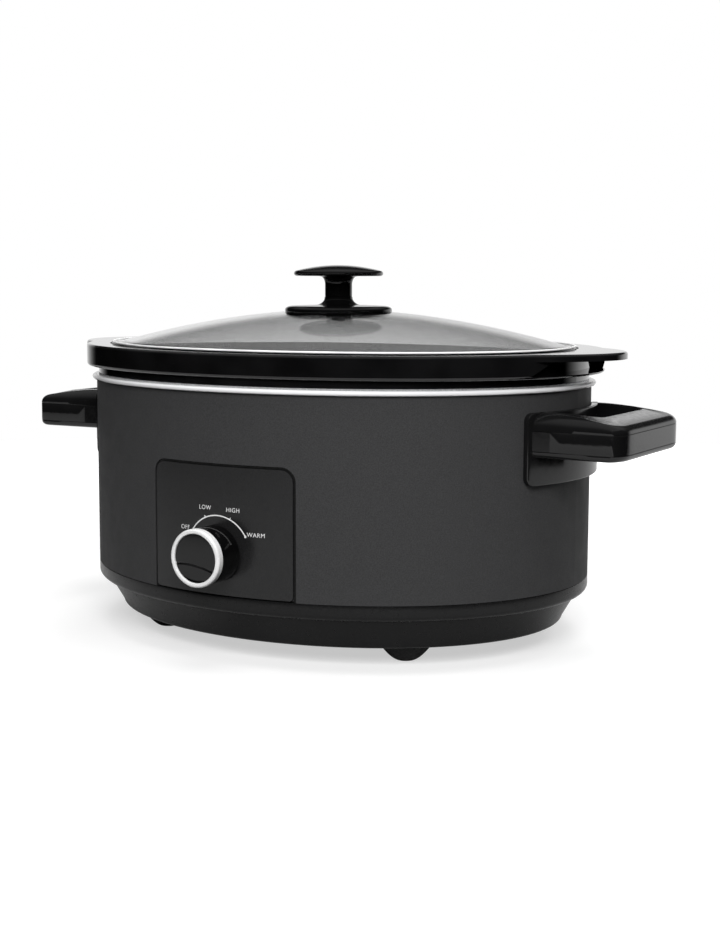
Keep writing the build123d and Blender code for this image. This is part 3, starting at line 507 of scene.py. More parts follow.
def quarter(from_point, to_point, steps=6, steep_first=True):
    """Quarter ellipse from one point to another. steep_first leaves along the second axis."""
    (x0, y0), (x1, y1) = from_point, to_point
    points = []
    for i in range(steps + 1):
        t = pi / 2 * i / steps
        across, along = (1 - cos(t), sin(t)) if steep_first else (sin(t), 1 - cos(t))
        points.append((x0 + (x1 - x0) * across, y0 + (y1 - y0) * along))
    return points


def front_y(x, proud=0.0):
    """Depth of the shell's front at x, moved out by proud."""
    return -(SHELL_Y + proud) * sqrt(1 - (x / (SHELL_X + proud)) ** 2)


def bevelled(obj, width, segments=2, angle=35):
    """Rounds the sharp edges of an object for good."""
    modifier = obj.modifiers.new("edges", "BEVEL")
    modifier.width = width
    modifier.segments = segments
    modifier.limit_method = "ANGLE"
    modifier.angle_limit = radians(angle)
    modifier.harden_normals = False
    return settled(obj)


def settled(obj, sharp_angle=40):
    """Replaces an object's mesh with what its modifiers make."""
    graph = bpy.context.evaluated_depsgraph_get()
    mesh = bpy.data.meshes.new_from_object(obj.evaluated_get(graph))
    material = obj.data.materials[0]
    obj.modifiers.clear()
    obj.data = mesh
    mesh.name = obj.name
    mesh.shade_smooth()
    mesh.set_sharp_from_angle(angle=radians(sharp_angle))
    mesh.materials.clear()
    mesh.materials.append(material)
    return obj


def coat_node(node, material):
    """Gives a CAD node its finish."""
    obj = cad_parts[node]
    obj.data.materials.clear()
    obj.data.materials.append(material)


# ---------------------------------------------------------------- geometry node trees

class Tree:
    """A Geometry Nodes tree with named inputs."""

    def __init__(self, name):
        self.group = bpy.data.node_groups.new(name, "GeometryNodeTree")
        self.group.interface.new_socket("Geometry", in_out="INPUT", socket_type="NodeSocketGeometry")
        self.group.interface.new_socket("Geometry", in_out="OUTPUT", socket_type="NodeSocketGeometry")
        self.start = self.add("NodeGroupInput")
        self.end = self.add("NodeGroupOutput")

    def add(self, kind, **values):
        node = self.group.nodes.new(kind)
        for socket, value in values.items():
            node.inputs[socket.replace("_", " ")].default_value = value
        return node

    def number(self, name, value):
        """A named input for a size or a count."""
        kind = "NodeSocketInt" if isinstance(value, int) else "NodeSocketFloat"
        socket = self.group.interface.new_socket(name, in_out="INPUT", socket_type=kind)
        socket.default_value = value
        return self.start.outputs[name]

    def link(self, source, target):
        self.group.links.new(source, target)

    def vector(self, x, y, z):
        """A vector node from three sockets or numbers."""
        node = self.add("ShaderNodeCombineXYZ")
        for target, value in zip(node.inputs, (x, y, z)):
            if isinstance(value, (int, float)):
                target.default_value = value
            else:
                self.link(value, target)
        return node.outputs["Vector"]

    def finish(self, geometry, material):
        """Ends the tree in Realize Instances and Set Material."""
        realize = self.add("GeometryNodeRealizeInstances")
        paint = self.add("GeometryNodeSetMaterial", Material=material)
        self.link(geometry, realize.inputs["Geometry"])
        self.link(realize.outputs["Geometry"], paint.inputs["Geometry"])
        self.link(paint.outputs["Geometry"], self.end.inputs["Geometry"])
        return self.group


def grown(name, seed_mesh, group, values, material, sharp_angle=40):
    """Runs a tree on a seed mesh with its inputs set, and keeps the plain mesh that comes out."""
    seed_mesh.materials.clear()
    seed_mesh.materials.append(material)
    obj = bpy.data.objects.new(name, seed_mesh)
    bpy.context.scene.collection.objects.link(obj)
    modifier = obj.modifiers.new("grow", "NODES")
    modifier.node_group = group
    for socket in group.interface.items_tree:
        if socket.item_type == "SOCKET" and socket.in_out == "INPUT" and socket.name in values:
            modifier[socket.identifier] = values[socket.name]
    settled(obj, sharp_angle)
    work = bmesh.new()
    work.from_mesh(obj.data)
    bmesh.ops.recalc_face_normals(work, faces=work.faces)
    work.to_mesh(obj.data)
    work.free()
    return obj


def oval_sweep_tree(material):
    """Sweeps a section, drawn as (outwards, down), round the shell's oval."""
    tree = Tree("oval_sweep")
    half_x = tree.number("Half length", 0.1)
    half_y = tree.number("Half width", 0.1)
    steps = tree.number("Steps", 240)
    circle = tree.add("GeometryNodeCurvePrimitiveCircle", Radius=1.0)
    tree.link(steps, circle.inputs["Resolution"])
    oval = tree.add("GeometryNodeTransform")
    tree.link(circle.outputs["Curve"], oval.inputs["Geometry"])
    tree.link(tree.vector(half_x, half_y, 1.0), oval.inputs["Scale"])
    section = tree.add("GeometryNodeMeshToCurve")
    tree.link(tree.start.outputs["Geometry"], section.inputs["Mesh"])
    sweep = tree.add("GeometryNodeCurveToMesh")
    tree.link(oval.outputs["Geometry"], sweep.inputs["Curve"])
    tree.link(section.outputs["Curve"], sweep.inputs["Profile Curve"])
    return tree.finish(sweep.outputs["Mesh"], material)


def section_mesh(points):
    """Closed outline of (outwards, height), as edges that the sweep reads."""
    mesh = bpy.data.meshes.new("section")
    count = len(points)
    mesh.from_pydata([(x, -z, 0) for x, z in points], [(i, (i + 1) % count) for i in range(count)], [])
    return mesh


def corner_copies_tree(material):
    """Copies the seed to the four corners of a rectangle."""
    tree = Tree("corner_copies")
    spread_x = tree.number("Spread along", 0.1)
    spread_y = tree.number("Spread across", 0.1)
    grid = tree.add("GeometryNodeMeshGrid", Vertices_X=2, Vertices_Y=2)
    tree.link(spread_x, grid.inputs["Size X"])
    tree.link(spread_y, grid.inputs["Size Y"])
    copies = tree.add("GeometryNodeInstanceOnPoints")
    tree.link(grid.outputs["Mesh"], copies.inputs["Points"])
    tree.link(tree.start.outputs["Geometry"], copies.inputs["Instance"])
    return tree.finish(copies.outputs["Instances"], material)


def dial_marks_tree(material):
    """Stands copies of the seed round an arc of the dial, one at each setting."""
    tree = Tree("dial_marks")
    radius = tree.number("Radius", 0.02)
    sweep = tree.number("Half sweep", 1.0)
    count = tree.number("Settings", 4)
    line = tree.add("GeometryNodeMeshLine")
    tree.link(count, line.inputs["Count"])
    index = tree.add("GeometryNodeInputIndex").outputs["Index"]
    last = tree.add("ShaderNodeMath")
    last.operation = "SUBTRACT"
    last.inputs[1].default_value = 1
    tree.link(count, last.inputs[0])
    turn = tree.add("ShaderNodeMapRange")
    tree.link(index, turn.inputs["Value"])
    tree.link(last.outputs[0], turn.inputs["From Max"])
    back = tree.add("ShaderNodeMath")
    back.operation = "MULTIPLY"
    back.inputs[1].default_value = -1
    tree.link(sweep, back.inputs[0])
    tree.link(back.outputs[0], turn.inputs["To Min"])
    tree.link(sweep, turn.inputs["To Max"])
    angle = turn.outputs["Result"]
    parts = []
    for operation in ("SINE", "COSINE"):
        wave = tree.add("ShaderNodeMath")
        wave.operation = operation
        tree.link(angle, wave.inputs[0])
        size = tree.add("ShaderNodeMath")
        size.operation = "MULTIPLY"
        tree.link(wave.outputs[0], size.inputs[0])
        tree.link(radius, size.inputs[1])
        parts.append(size.outputs[0])
    place = tree.add("GeometryNodeSetPosition")
    tree.link(line.outputs["Mesh"], place.inputs["Geometry"])
    tree.link(tree.vector(parts[0], 0.0, parts[1]), place.inputs["Position"])
    copies = tree.add("GeometryNodeInstanceOnPoints")
    tree.link(place.outputs["Geometry"], copies.inputs["Points"])
    tree.link(tree.start.outputs["Geometry"], copies.inputs["Instance"])
    tree.link(tree.vector(0.0, angle, 0.0), copies.inputs["Rotation"])
    return tree.finish(copies.outputs["Instances"], material)


# ---------------------------------------------------------------- heated base

class COOKER_OT_shell(bpy.types.Operator):
    """Coat the steel shell"""

    bl_idname = "cooker.shell"
    bl_label = "Coat Shell"

    def execute(self, context):
        coat_node("outer_shell", powder_coat(context.scene.cooker_base))
        return {"FINISHED"}


class COOKER_OT_base_moulding(bpy.types.Operator):
    """Sweep the base moulding's section round the oval and close its floor"""

    bl_idname = "cooker.base_moulding"
    bl_label = "Build Base Moulding"

    def execute(self, context):
        s = context.scene.cooker_base
        material = moulded_gloss("base_plastic", tuple(s.moulding_colour), 0.22, 0.3)
        step_z = SHELL_FOOT - s.band_height
        skirt_z = step_z - s.step_drop
        skirt_in = -(s.step_in + s.skirt_in)
        heel_z = BASE_FLOOR + s.heel
        edge = 0.5 * MM
        inner = skirt_in - s.heel - s.floor_reach
        outside = [(-s.wall, SHELL_FOOT)]
        outside += quarter((-edge, SHELL_FOOT), (0, SHELL_FOOT - edge), 3, False)
        outside += quarter((0, step_z), (-s.step_in, skirt_z), 8)
        outside += quarter((skirt_in, heel_z), (skirt_in - s.heel, BASE_FLOOR), 5)
        outside.append((inner, BASE_FLOOR))
        inside = [(inner, BASE_FLOOR + s.wall), (skirt_in - s.wall, BASE_FLOOR + s.wall)]
        inside += [(-s.step_in - s.wall, skirt_z + s.wall), (-s.wall, step_z + s.wall)]
        sizes = {"Half length": SHELL_X, "Half width": SHELL_Y}
        section = section_mesh(outside + inside)
        wall = grown("base_moulding", section, oval_sweep_tree(material), sizes, material)
        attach(wall, "cooker_base")
        edge_in = inner + LAP
        levels = (BASE_FLOOR + s.wall - HAIR, BASE_FLOOR + HAIR)
        rings = [oval_ring(SHELL_X + edge_in, SHELL_Y + edge_in, z) for z in levels]
        floor = add_object("base_floor", rings_mesh(rings), material)
        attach(floor, "cooker_base")
        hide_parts("base_pan")
        return {"FINISHED"}


class COOKER_OT_trim_ring(bpy.types.Operator):
    """Sweep the rolled chrome bead round the top of the shell"""

    bl_idname = "cooker.trim_ring"
    bl_label = "Build Trim Ring"

    def execute(self, context):
        s = context.scene.cooker_base
        # The trim ring's brightness is painted reflection in its colour
        material = chrome_painted_reflection("trim_painted_reflection", tuple(s.trim_painted_reflection_colour), 0.12)
        proud = TRIM_HIGH.x - SHELL_X
        middle = (SHELL_TOP + TRIM_HIGH.z) / 2
        half = (TRIM_HIGH.z - SHELL_TOP) / 2
        bead = arc((proud - half, middle), half, -90, 90, 12)
        leaf_foot = TRIM_HIGH.z - s.trim_leaf
        leaf = [(-s.trim_reach, TRIM_HIGH.z), (-s.trim_reach, leaf_foot), (-s.trim_leaf, leaf_foot)]
        skirt_foot = SHELL_TOP - s.trim_skirt
        skirt = [(-s.trim_leaf, skirt_foot), (-s.trim_inset, skirt_foot), (-s.trim_inset, SHELL_TOP)]
        section = section_mesh(bead + leaf + skirt)
        sizes = {"Half length": SHELL_X, "Half width": SHELL_Y, "Steps": 320}
        ring = grown("trim_bead", section, oval_sweep_tree(material), sizes, material)
        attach(ring, "cooker_base")
        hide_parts("trim_ring")
        return {"FINISHED"}


class COOKER_OT_feet(bpy.types.Operator):
    """Turn one foot and copy it to the four corners"""

    bl_idname = "cooker.feet"
    bl_label = "Build Feet"

    def execute(self, context):
        s = context.scene.cooker_base
        material = soft_rubber("foot_rubber", tuple(s.foot_colour))
        centre = (FOOT_LOW + FOOT_HIGH) / 2
        root = (FOOT_HIGH.x - FOOT_LOW.x) / 2 - HAIR
        top = BASE_FLOOR
        shares = [i / 12 for i in range(13)]
        swell = [(s.foot_toe + (root - s.foot_toe) * share, top * share**s.foot_swell) for share in shares]
        profile = [(s.foot_toe - 1.2 * MM, 0.0)] + swell
        profile.append((root - 3 * MM, top + 0.02 * MM))
        seed = rings_mesh(lathe(profile, 48))
        sizes = {"Spread along": 2 * centre.x, "Spread across": 2 * centre.y}
        feet = grown("feet", seed, corner_copies_tree(material), sizes, material)
        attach(feet, "cooker_base")
        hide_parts("foot_front_left", "foot_front_right", "foot_rear_left", "foot_rear_right")
        return {"FINISHED"}


# ---------------------------------------------------------------- side handles

def handle_top(x, s):
    """Height of the handle's top at x, falling away from the shell."""
    reach = HANDLE_HIGH.x - SHELL_X
    out = max(0.0, x - SHELL_X) / reach
    return HANDLE_HIGH.z - s.top_slope * out**2


def handle_stations(s):
    """Pairs of outer and inner plan points, from the front root round the bar to the back root."""
    tip = HANDLE_HIGH.x
    gap = tip - s.bar
    outer_turn = (tip - s.corner_x, s.half_width - s.corner_y)
    inner_turn = (gap - s.gap_corner, s.gap_half_width - s.gap_corner)
    root = HANDLE_LOW.x + s.root_in
    flare = s.half_width - s.root_half_width
    steps = 8
    pairs = []
    for i in range(steps):
        share = i / steps
        outer = (root + (outer_turn[0] - root) * share, s.root_half_width + flare * share)
        inner = (root + (inner_turn[0] - root) * share, s.gap_half_width)
        pairs.append((outer, inner))
    outside = arc(outer_turn, s.corner_x, 90, 0, 10, s.corner_y / s.corner_x)
    pairs += list(zip(outside, arc(inner_turn, s.gap_corner, 90, 0, 10)))
    bar = 6
    for i in range(1, bar):
        share = 1 - i / bar
        pairs.append(((tip, outer_turn[1] * share), (gap, inner_turn[1] * share)))
    back = [((ox, -oy), (ix, -iy)) for (ox, oy), (ix, iy) in reversed(pairs)]
    return pairs + [((tip, 0.0), (gap, 0.0))] + back


def handle_section(outer, inner, s):
    """Closed section of the handle between an outer and an inner plan point."""
    outer, inner = Vector((*outer, 0)), Vector((*inner, 0))
    width = (inner - outer).length
    inwards = (inner - outer) / width
    foot = HANDLE_HIGH.z - s.height
    face_foot = foot + s.under
    face_top = face_foot + s.face
    top_out, top_in = handle_top(outer.x, s), handle_top(inner.x, s)
    widest_bevel, bevel_lean = 0.62 * width, 1.13
    bevel = min(widest_bevel, (top_out - face_top) * bevel_lean)
    soft = s.soft_edge
    crown = [(0, face_top - s.seam), (s.seam, face_top)]
    crown += quarter((0, face_top + s.seam), (bevel, top_out), 8)
    crown += quarter((width - soft, top_in), (width, top_in - soft), 3, False)
    below = quarter((width, foot + soft), (width - soft, foot), 3)
    below += quarter((s.under, foot), (0, face_foot - s.seam), 4, False) + [(s.seam, face_foot)]
    below.append((0, face_foot + s.seam))
    return [outer + inwards * across + Vector((0, 0, z)) for across, z in crown + below]


def bracket_mesh(s):
    """Curved plate with rounded corners that lies on the shell."""
    half = HANDLE_HIGH.y
    foot, top = HANDLE_LOW.z, HANDLE_HIGH.z
    corner = s.bracket_corner
    outline = []
    for (y, z), start in (((half - corner, top - corner), 90), ((-half + corner, top - corner), 180),
                          ((-half + corner, foot + corner), 270), ((half - corner, foot + corner), 360)):
        outline += [(0, py, pz) for py, pz in arc((y, z), corner, start - 90, start, 6)]
    work = bmesh.new()
    work.faces.new([work.verts.new(p) for p in outline])
    slice_width = 5 * MM
    for i in range(-11, 12):
        geometry = work.verts[:] + work.edges[:] + work.faces[:]
        cut = (0, i * slice_width, 0)
        bmesh.ops.bisect_plane(work, geom=geometry, plane_co=cut, plane_no=(0, 1, 0))
    grown_part = bmesh.ops.extrude_face_region(work, geom=work.faces[:])
    for item in grown_part["geom"]:
        if isinstance(item, bmesh.types.BMVert):
            item.co.x = s.bracket_thick
    seat = 0.1 * MM
    for vert in work.verts:
        out = vert.co.x + seat
        y = vert.co.y
        x = SHELL_X * sqrt(1 - (y / SHELL_Y) ** 2)
        normal = Vector((x / SHELL_X**2, y / SHELL_Y**2, 0)).normalized()
        vert.co.x = x + normal.x * out
        vert.co.y = y + normal.y * out
    bmesh.ops.recalc_face_normals(work, faces=work.faces)
    mesh = bpy.data.meshes.new("bracket")
    work.to_mesh(mesh)
    work.free()
    return mesh


class COOKER_OT_handles(bpy.types.Operator):
    """Build the loop handles and their brackets"""

    bl_idname = "cooker.handles"
    bl_label = "Build Handles"

    def execute(self, context):
        s = context.scene.cooker_handles
        material = moulded_gloss("handle_plastic", tuple(s.colour), 0.13)
        for side, name in ((1, "right"), (-1, "left")):
            rings = [handle_section(outer, inner, s) for outer, inner in handle_stations(s)]
            rings = [[Vector((side * p.x, p.y, p.z)) for p in ring] for ring in rings]
            loop = add_object(f"handle_loop_{name}", rings_mesh(rings), material)
            bracket = add_object(f"handle_bracket_{name}", bracket_mesh(s), material)
            if side < 0:
                bracket.data.transform(Matrix.Scale(-1, 4, (1, 0, 0)))
                bracket.data.flip_normals()
            bevelled(bracket, 1.2 * MM, 3)
            for piece in (loop, bracket):
                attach(piece, "cooker_base")
            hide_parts(f"handle_{name}")
        return {"FINISHED"}


# ---------------------------------------------------------------- crock and lid

class COOKER_OT_crock(bpy.types.Operator):
    """Glaze the crock"""

    bl_idname = "cooker.crock"
    bl_label = "Glaze Crock"

    def execute(self, context):
        coat_node("crock", crock_glaze(context.scene.cooker_crock))
        return {"FINISHED"}


class COOKER_OT_lid_glass(bpy.types.Operator):
    """Blow the domed glass lid with its flat edge"""

    bl_idname = "cooker.lid_glass"
    bl_label = "Build Lid Glass"

    def execute(self, context):
        s = context.scene.cooker_crock
        foot, top = LID_LOW.z, LID_HIGH.z
        edge_z = foot + s.flange_thick
        dome_x, dome_y = LID_HIGH.x - s.flange_x, LID_HIGH.y - s.flange_y
        thick = s.glass_thick

        def dome_rings(inset, crown, foot_z, steps=30):
            half_x, half_y = dome_x - inset, dome_y - inset
            least = s.screw_hole / half_x
            rings = []
            for i in range(steps + 1):
                share = least + (1 - least) * sin(pi / 2 * i / steps)
                rise = (crown - foot_z) * (1 - share**s.dome_power)
                rings.append((share * half_x, share * half_y, foot_z + rise))
            return rings

        outside = dome_rings(0, top, edge_z)
        blend = s.flange_round
        rim = quarter((s.flange_x - blend, edge_z), (s.flange_x, edge_z - blend), 4, False)
        rim += quarter((s.flange_x, foot + blend), (s.flange_x - blend, foot), 4)
        flange = [(dome_x + across, dome_y + s.flange_y * across / s.flange_x, z) for across, z in rim]
        inside = dome_rings(thick, top - thick, foot + 0.3 * MM)
        levels = outside + flange + list(reversed(inside))
        rings = [oval_ring(x, y, z, 200) for x, y, z in levels]
        lid = add_object("lid_dome", rings_mesh(rings, loop=True), tempered_glass(s), 60)
        bead = arc((-s.rim_bead_in, edge_z), s.rim_bead, 0, 330, 11)
        rings = [oval_ring(LID_HIGH.x + across, LID_HIGH.y + across, z, 200) for across, z in bead]
        # Pale bead on the lid's rim, a painted highlight
        edge = add_object("lid_edge_painted_highlight", rings_mesh(rings, loop=True), edge_painted_highlight(), 80)
        for piece in (lid, edge):
            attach(piece, "lid")
        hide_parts("lid_glass")
        return {"FINISHED"}


class COOKER_OT_lid_knob(bpy.types.Operator):
    """Turn the lid knob's plate and its grip, and coat its screw and washer"""

    bl_idname = "cooker.lid_knob"
    bl_label = "Build Lid Knob"

    def execute(self, context):
        s = context.scene.cooker_crock
        material = moulded_gloss("lid_knob_plastic", tuple(s.knob_colour), 0.12)
        joint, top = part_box("lid_knob_grip")[0][2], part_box("lid_knob_grip")[1][2]
        base = add_object("lid_knob_plate", rings_mesh(self.plate_rings(s, joint)), material)
        grip = add_object("lid_knob_cap", rings_mesh(lathe(self.cap_profile(s, joint, top), 128)), material)
        for piece in (base, grip):
            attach(piece, "lid")
        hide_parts("lid_knob_base")
        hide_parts("lid_knob_grip")
        coat_node("lid_knob_screw", zinc_plate())
        coat_node("lid_knob_washer", soft_rubber("washer_silicone", (0.02, 0.02, 0.02)))
        return {"FINISHED"}

    def plate_rings(self, s, joint):
        """Plate with its hollow collar above, and an underside that follows the glass."""
        dome = LID_HIGH.z
        half_x, half_y = LID_HIGH.x - s.flange_x, LID_HIGH.y - s.flange_y
        rise = dome - LID_LOW.z - s.flange_thick
        plate_top = dome + s.plate_rise
        edge = plate_top - s.plate_edge_drop
        collar = s.stem_radius + 0.3 * MM
        profile = [(4 * MM, joint), (collar - 0.35 * MM, joint), (collar, joint - 0.3 * MM)]
        profile += quarter((collar, joint - 0.6 * MM), (17 * MM, plate_top + 0.6 * MM), 10)
        profile += quarter((32.6 * MM, plate_top), (s.plate_radius, edge), 6, False)
        profile.append((s.plate_radius + HAIR, edge - 1.2 * MM))
        rings = lathe(profile, 128)
        for radius in (38.2, 36.5, 28.0, 18.0, 9.0, 4.0):
            ring = oval_ring(radius * MM, radius * MM, 0, 128)
            for point in ring:
                share = sqrt((point.x / half_x) ** 2 + (point.y / half_y) ** 2)
                point.z = dome + 0.1 * MM - rise * share**s.dome_power
            rings.append(ring)
        return rings

    def cap_profile(self, s, joint, top):
        """Outline of the stem and the cap, from the joint with the plate up to the crown."""
        stem = s.stem_radius
        under = joint + s.stem_height
        widest = under + 1.8 * MM
        shoulder = widest + 2.4 * MM
        profile = [(4 * MM, joint + 0.02 * MM), (stem - 0.35 * MM, joint + 0.02 * MM)]
        profile += [(stem, joint + height * MM) for height in (0.4, 4, 8.4)]
        profile += quarter((stem, joint + 8.6 * MM), (13 * MM, under - 0.3 * MM), 8)
        profile += [(14 * MM, under), (29.6 * MM, under)]
        profile += quarter((30 * MM, under + HAIR), (s.cap_radius, widest), 5, False)
        profile += quarter((s.cap_radius, widest + 0.1 * MM), (29.5 * MM, shoulder - 0.2 * MM), 5)
        steps = 12
        shares = [1 - i / steps for i in range(steps + 1)]
        return profile + [(29 * MM * share, top - (top - shoulder) * share**2) for share in shares]


# ---------------------------------------------------------------- control panel and dial

CAPITAL_SHARE = 0.69  # height of the font's capitals over its size

# Middle of each printed word, in millimetres to the right of the dial's axis and above it
DIAL_WORDS = {"OFF": (-26.6, 14.6), "LOW": (-9.8, 29.0), "HIGH": (11.9, 28.6), "WARM": (28.6, 13.6)}


def ink_on_panel(obj, thickness):
    """Lays a flat printed mesh, drawn in X and Z with its face at y = 0, on the curved panel."""
    seat = 0.3 * MM
    for vert in obj.data.vertices:
        lift = seat + (thickness if vert.co.y < 0 else -0.02 * MM)
        vert.co.y = front_y(vert.co.x, lift)


class COOKER_OT_panel(bpy.types.Operator):
    """Finish the control panel, print its arc, ticks and words, and lay a painted shadow strip in its gap
    """

    bl_idname = "cooker.panel"
    bl_label = "Print Panel"

    def execute(self, context):
        s = context.scene.cooker_dial
        coat_node("control_panel", satin_panel(s))
        ink = printed_ink(s)
        pieces = [self.arc(s, ink)] + self.marks(s, ink)
        pieces += [self.word(s, ink, text, x * MM, up * MM) for text, (x, up) in DIAL_WORDS.items()]
        for piece in pieces:
            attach(piece, "cooker_base")
        # Black strip in the panel's gap: painted shadow
        painted_gap_shadow = self.painted_gap_shadow(s)
        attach(painted_gap_shadow, "cooker_base")
        return {"FINISHED"}

    def painted_gap_shadow(self, s):
        """Black strip in the gap between the panel and the shell: painted shadow in place of the shade that
        falls in the gap.
        """
        half, corner = s.panel_half, s.panel_corner
        top = PANEL_HIGH.z - s.panel_flange
        foot = SHELL_FOOT + 0.2 * MM
        side = [foot + (top - corner - foot) * i / 6 for i in range(6)]
        strips = []
        for out in (HAIR, s.painted_gap_shadow):
            line = [(-half - out, z) for z in side]
            line += arc((-half + corner, top - corner), corner + out, 180, 90, 8)
            line += [(x * MM, top + out) for x in (-30, -15, 0, 15, 30)]
            line += arc((half - corner, top - corner), corner + out, 90, 0, 8)
            line += [(half + out, z) for z in reversed(side)]
            strips.append(line)
        back, face = -0.95 * MM, -0.6 * MM
        rings = []
        for (x0, z0), (x1, z1) in zip(*strips):
            corners = ((x0, z0, back), (x1, z1, back), (x1, z1, face), (x0, z0, face))
            rings.append([Vector((x, front_y(x, depth), z)) for x, z, depth in corners])
        # Near-black matte finish of the painted shadow strip
        shadow_strip_finish = soft_rubber("gap_shadow_black", (0.004, 0.004, 0.004))
        return add_object("panel_gap_painted_shadow", rings_mesh(rings), shadow_strip_finish)

    def arc(self, s, ink):
        """Printed arc from the first setting to the last."""
        steps = 64
        rings = []
        for i in range(steps + 1):
            turn = -s.sweep + 2 * s.sweep * i / steps
            radii = (s.arc_radius - s.arc_width / 2, s.arc_radius + s.arc_width / 2)
            low, high = (Vector((r * sin(turn), 0, DIAL_Z + r * cos(turn))) for r in radii)
            front = Vector((0, -s.ink, 0))
            rings.append([low, high, high + front, low + front])
        obj = add_object("dial_arc", rings_mesh(rings), ink)
        ink_on_panel(obj, s.ink)
        return obj

    def marks(self, s, ink):
        """Ticks outside the arc at the middle settings, and a dot at each of its ends."""
        half, tip = 0.45 * MM, 1.5 * MM
        tick = [(-half, 0), (half, 0), (half * 0.5, tip), (-half * 0.5, tip)]
        dot = arc((0, 0), 0.85 * MM, 0, 337.5, 15)
        marks = []
        for name, outline, turn in (("dial_ticks", tick, s.tick), ("dial_dots", dot, s.sweep)):
            rings = [[Vector((x, y, z)) for x, z in outline] for y in (0, -s.ink)]
            sizes = {"Radius": s.arc_radius, "Half sweep": turn, "Settings": 2}
            obj = grown(name, rings_mesh(rings), dial_marks_tree(ink), sizes, ink)
            obj.data.transform(Matrix.Translation((0, 0, DIAL_Z)))
            ink_on_panel(obj, s.ink)
            marks.append(obj)
        return marks

    def word(self, s, ink, text, x, up):
        """A dial word in plain capitals, centred on a place beside the arc."""
        curve = bpy.data.curves.new(f"word_{text.lower()}", "FONT")
        curve.body = text
        curve.align_x = "CENTER"
        curve.size = s.word_height / CAPITAL_SHARE
        curve.extrude = s.ink / 2
        curve.space_character = 1.1
        holder = bpy.data.objects.new(curve.name, curve)
        bpy.context.scene.collection.objects.link(holder)
        graph = bpy.context.evaluated_depsgraph_get()
        mesh = bpy.data.meshes.new_from_object(holder.evaluated_get(graph))
        bpy.data.objects.remove(holder)
        place = Matrix.Translation((x, 0, DIAL_Z + up - s.word_height / 2))
        mesh.transform(place @ Matrix.Rotation(pi / 2, 4, "X"))
        work = bmesh.new()
        work.from_mesh(mesh)
        bmesh.ops.remove_doubles(work, verts=work.verts, dist=0.001 * MM)
        bmesh.ops.recalc_face_normals(work, faces=work.faces)
        work.to_mesh(mesh)
        work.free()
        obj = add_object(f"word_{text.lower()}", mesh, ink)
        ink_on_panel(obj, s.ink)
        return obj


class COOKER_OT_dial(bpy.types.Operator):
    """Turn the dial's barrel, bright ring and dark face"""

    bl_idname = "cooker.dial"
    bl_label = "Build Dial"

    def execute(self, context):
        s = context.scene.cooker_dial
        gloss = moulded_gloss("dial_plastic", tuple(s.knob_colour), 0.1)
        # The ring's near-white colour is painted reflection
        chrome = silver_painted_reflection()
        centre = Vector((0, 0, DIAL_Z))
        back, shoulder = -KNOB_HIGH.y, -RING_HIGH.y
        front = -RING_LOW.y
        barrel_r = KNOB_HIGH.x
        ring_r = RING_HIGH.x
        inner_r = ring_r - s.ring_lip
        bore, hub, hollow = 3.2 * MM, 5.8 * MM, 15.5 * MM
        hub_back, hollow_front = back + 4.6 * MM, back + 9 * MM
        profile = [(bore, hub_back), (hub, hub_back), (hub + 0.2 * MM, hollow_front)]
        profile += [(hollow, hollow_front), (hollow, back)]
        profile += quarter((barrel_r - 0.5 * MM, back), (barrel_r, back + 0.5 * MM), 3, False)
        profile += quarter((barrel_r, shoulder - 0.3 * MM), (barrel_r - 0.3 * MM, shoulder), 3)
        profile.append((bore, shoulder))
        barrel = add_object("dial_barrel", rings_mesh(lathe(profile, 128, "Y", centre)), gloss)
        profile = [(inner_r, shoulder), (ring_r - 0.2 * MM, shoulder), (ring_r, shoulder + 0.2 * MM)]
        profile += quarter((ring_r, front - 1.7 * MM), (ring_r - 1.6 * MM, front), 8)
        profile += quarter((inner_r + 0.9 * MM, front), (inner_r, front - 0.9 * MM), 6, False)
        rings = lathe(profile, 160, "Y", centre)
        ring = add_object("dial_ring", rings_mesh(rings, loop=True), chrome)
        rings = self.face_rings(s, inner_r, shoulder, -FACE_LOW.y)
        rings = [[point + centre for point in ring_points] for ring_points in rings]
        face = add_object("dial_face", rings_mesh(rings), gloss)
        for piece, slot_name in ((barrel, "knob"), (ring, "chrome"), (face, "knob")):
            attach(piece, "dial")
        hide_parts("control_knob")
        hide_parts("knob_trim_ring")
        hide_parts("knob_face")
        coat_node("switch_shaft", zinc_plate())
        return {"FINISHED"}

    def face_rings(self, s, radius, back, front):
        """Round dished face with a shallow curved groove below its middle."""
        steps, rings_out = 128, 44
        dish, lean = 0.5 * MM, 0.1
        turns = [2 * pi * i / steps for i in range(steps)]
        rings = [[Vector((radius * cos(t), -back, radius * sin(t))) for t in turns]]
        for r in range(rings_out):
            share = 1 - r / rings_out
            ring = []
            for turn in turns:
                x, z = radius * share * cos(turn), radius * share * sin(turn)
                line = -0.29 * radius - 0.1 * radius * (x / radius) ** 2 - 0.14 * x
                cut = s.groove * max(0.0, 1 - abs(z - line) / s.groove)
                tilt = lean * max(0.0, line - z) * (1 - share**4)
                ring.append(Vector((x, dish * share**2 + tilt + cut - front, z)))
            rings.append(ring)
        return rings


class COOKER_OT_fittings(bpy.types.Operator):
    """Finish the pieces inside and at the back of the base"""

    bl_idname = "cooker.fittings"
    bl_label = "Finish Fittings"

    def execute(self, context):
        steel = zinc_plate()
        insulator = pressed_insulator()
        coats = {
            "heating_liner": drawn_aluminium(),
            "heater_band": heater_wrap(),
            "terminal_block": insulator,
            "rotary_switch": insulator,
            "cord_gland": soft_rubber("gland_rubber", (0.018, 0.018, 0.018)),
        }
        steel_nodes = (
            "liner_studs", "stud_spacers", "stud_nuts", "thermal_fuse", "fuse_clip", "switch_nut",
            "handle_plate_right", "handle_plate_left", "handle_screws",
        )
        coats.update({node: steel for node in steel_nodes})
        for node, material in coats.items():
            coat_node(node, material)
        return {"FINISHED"}


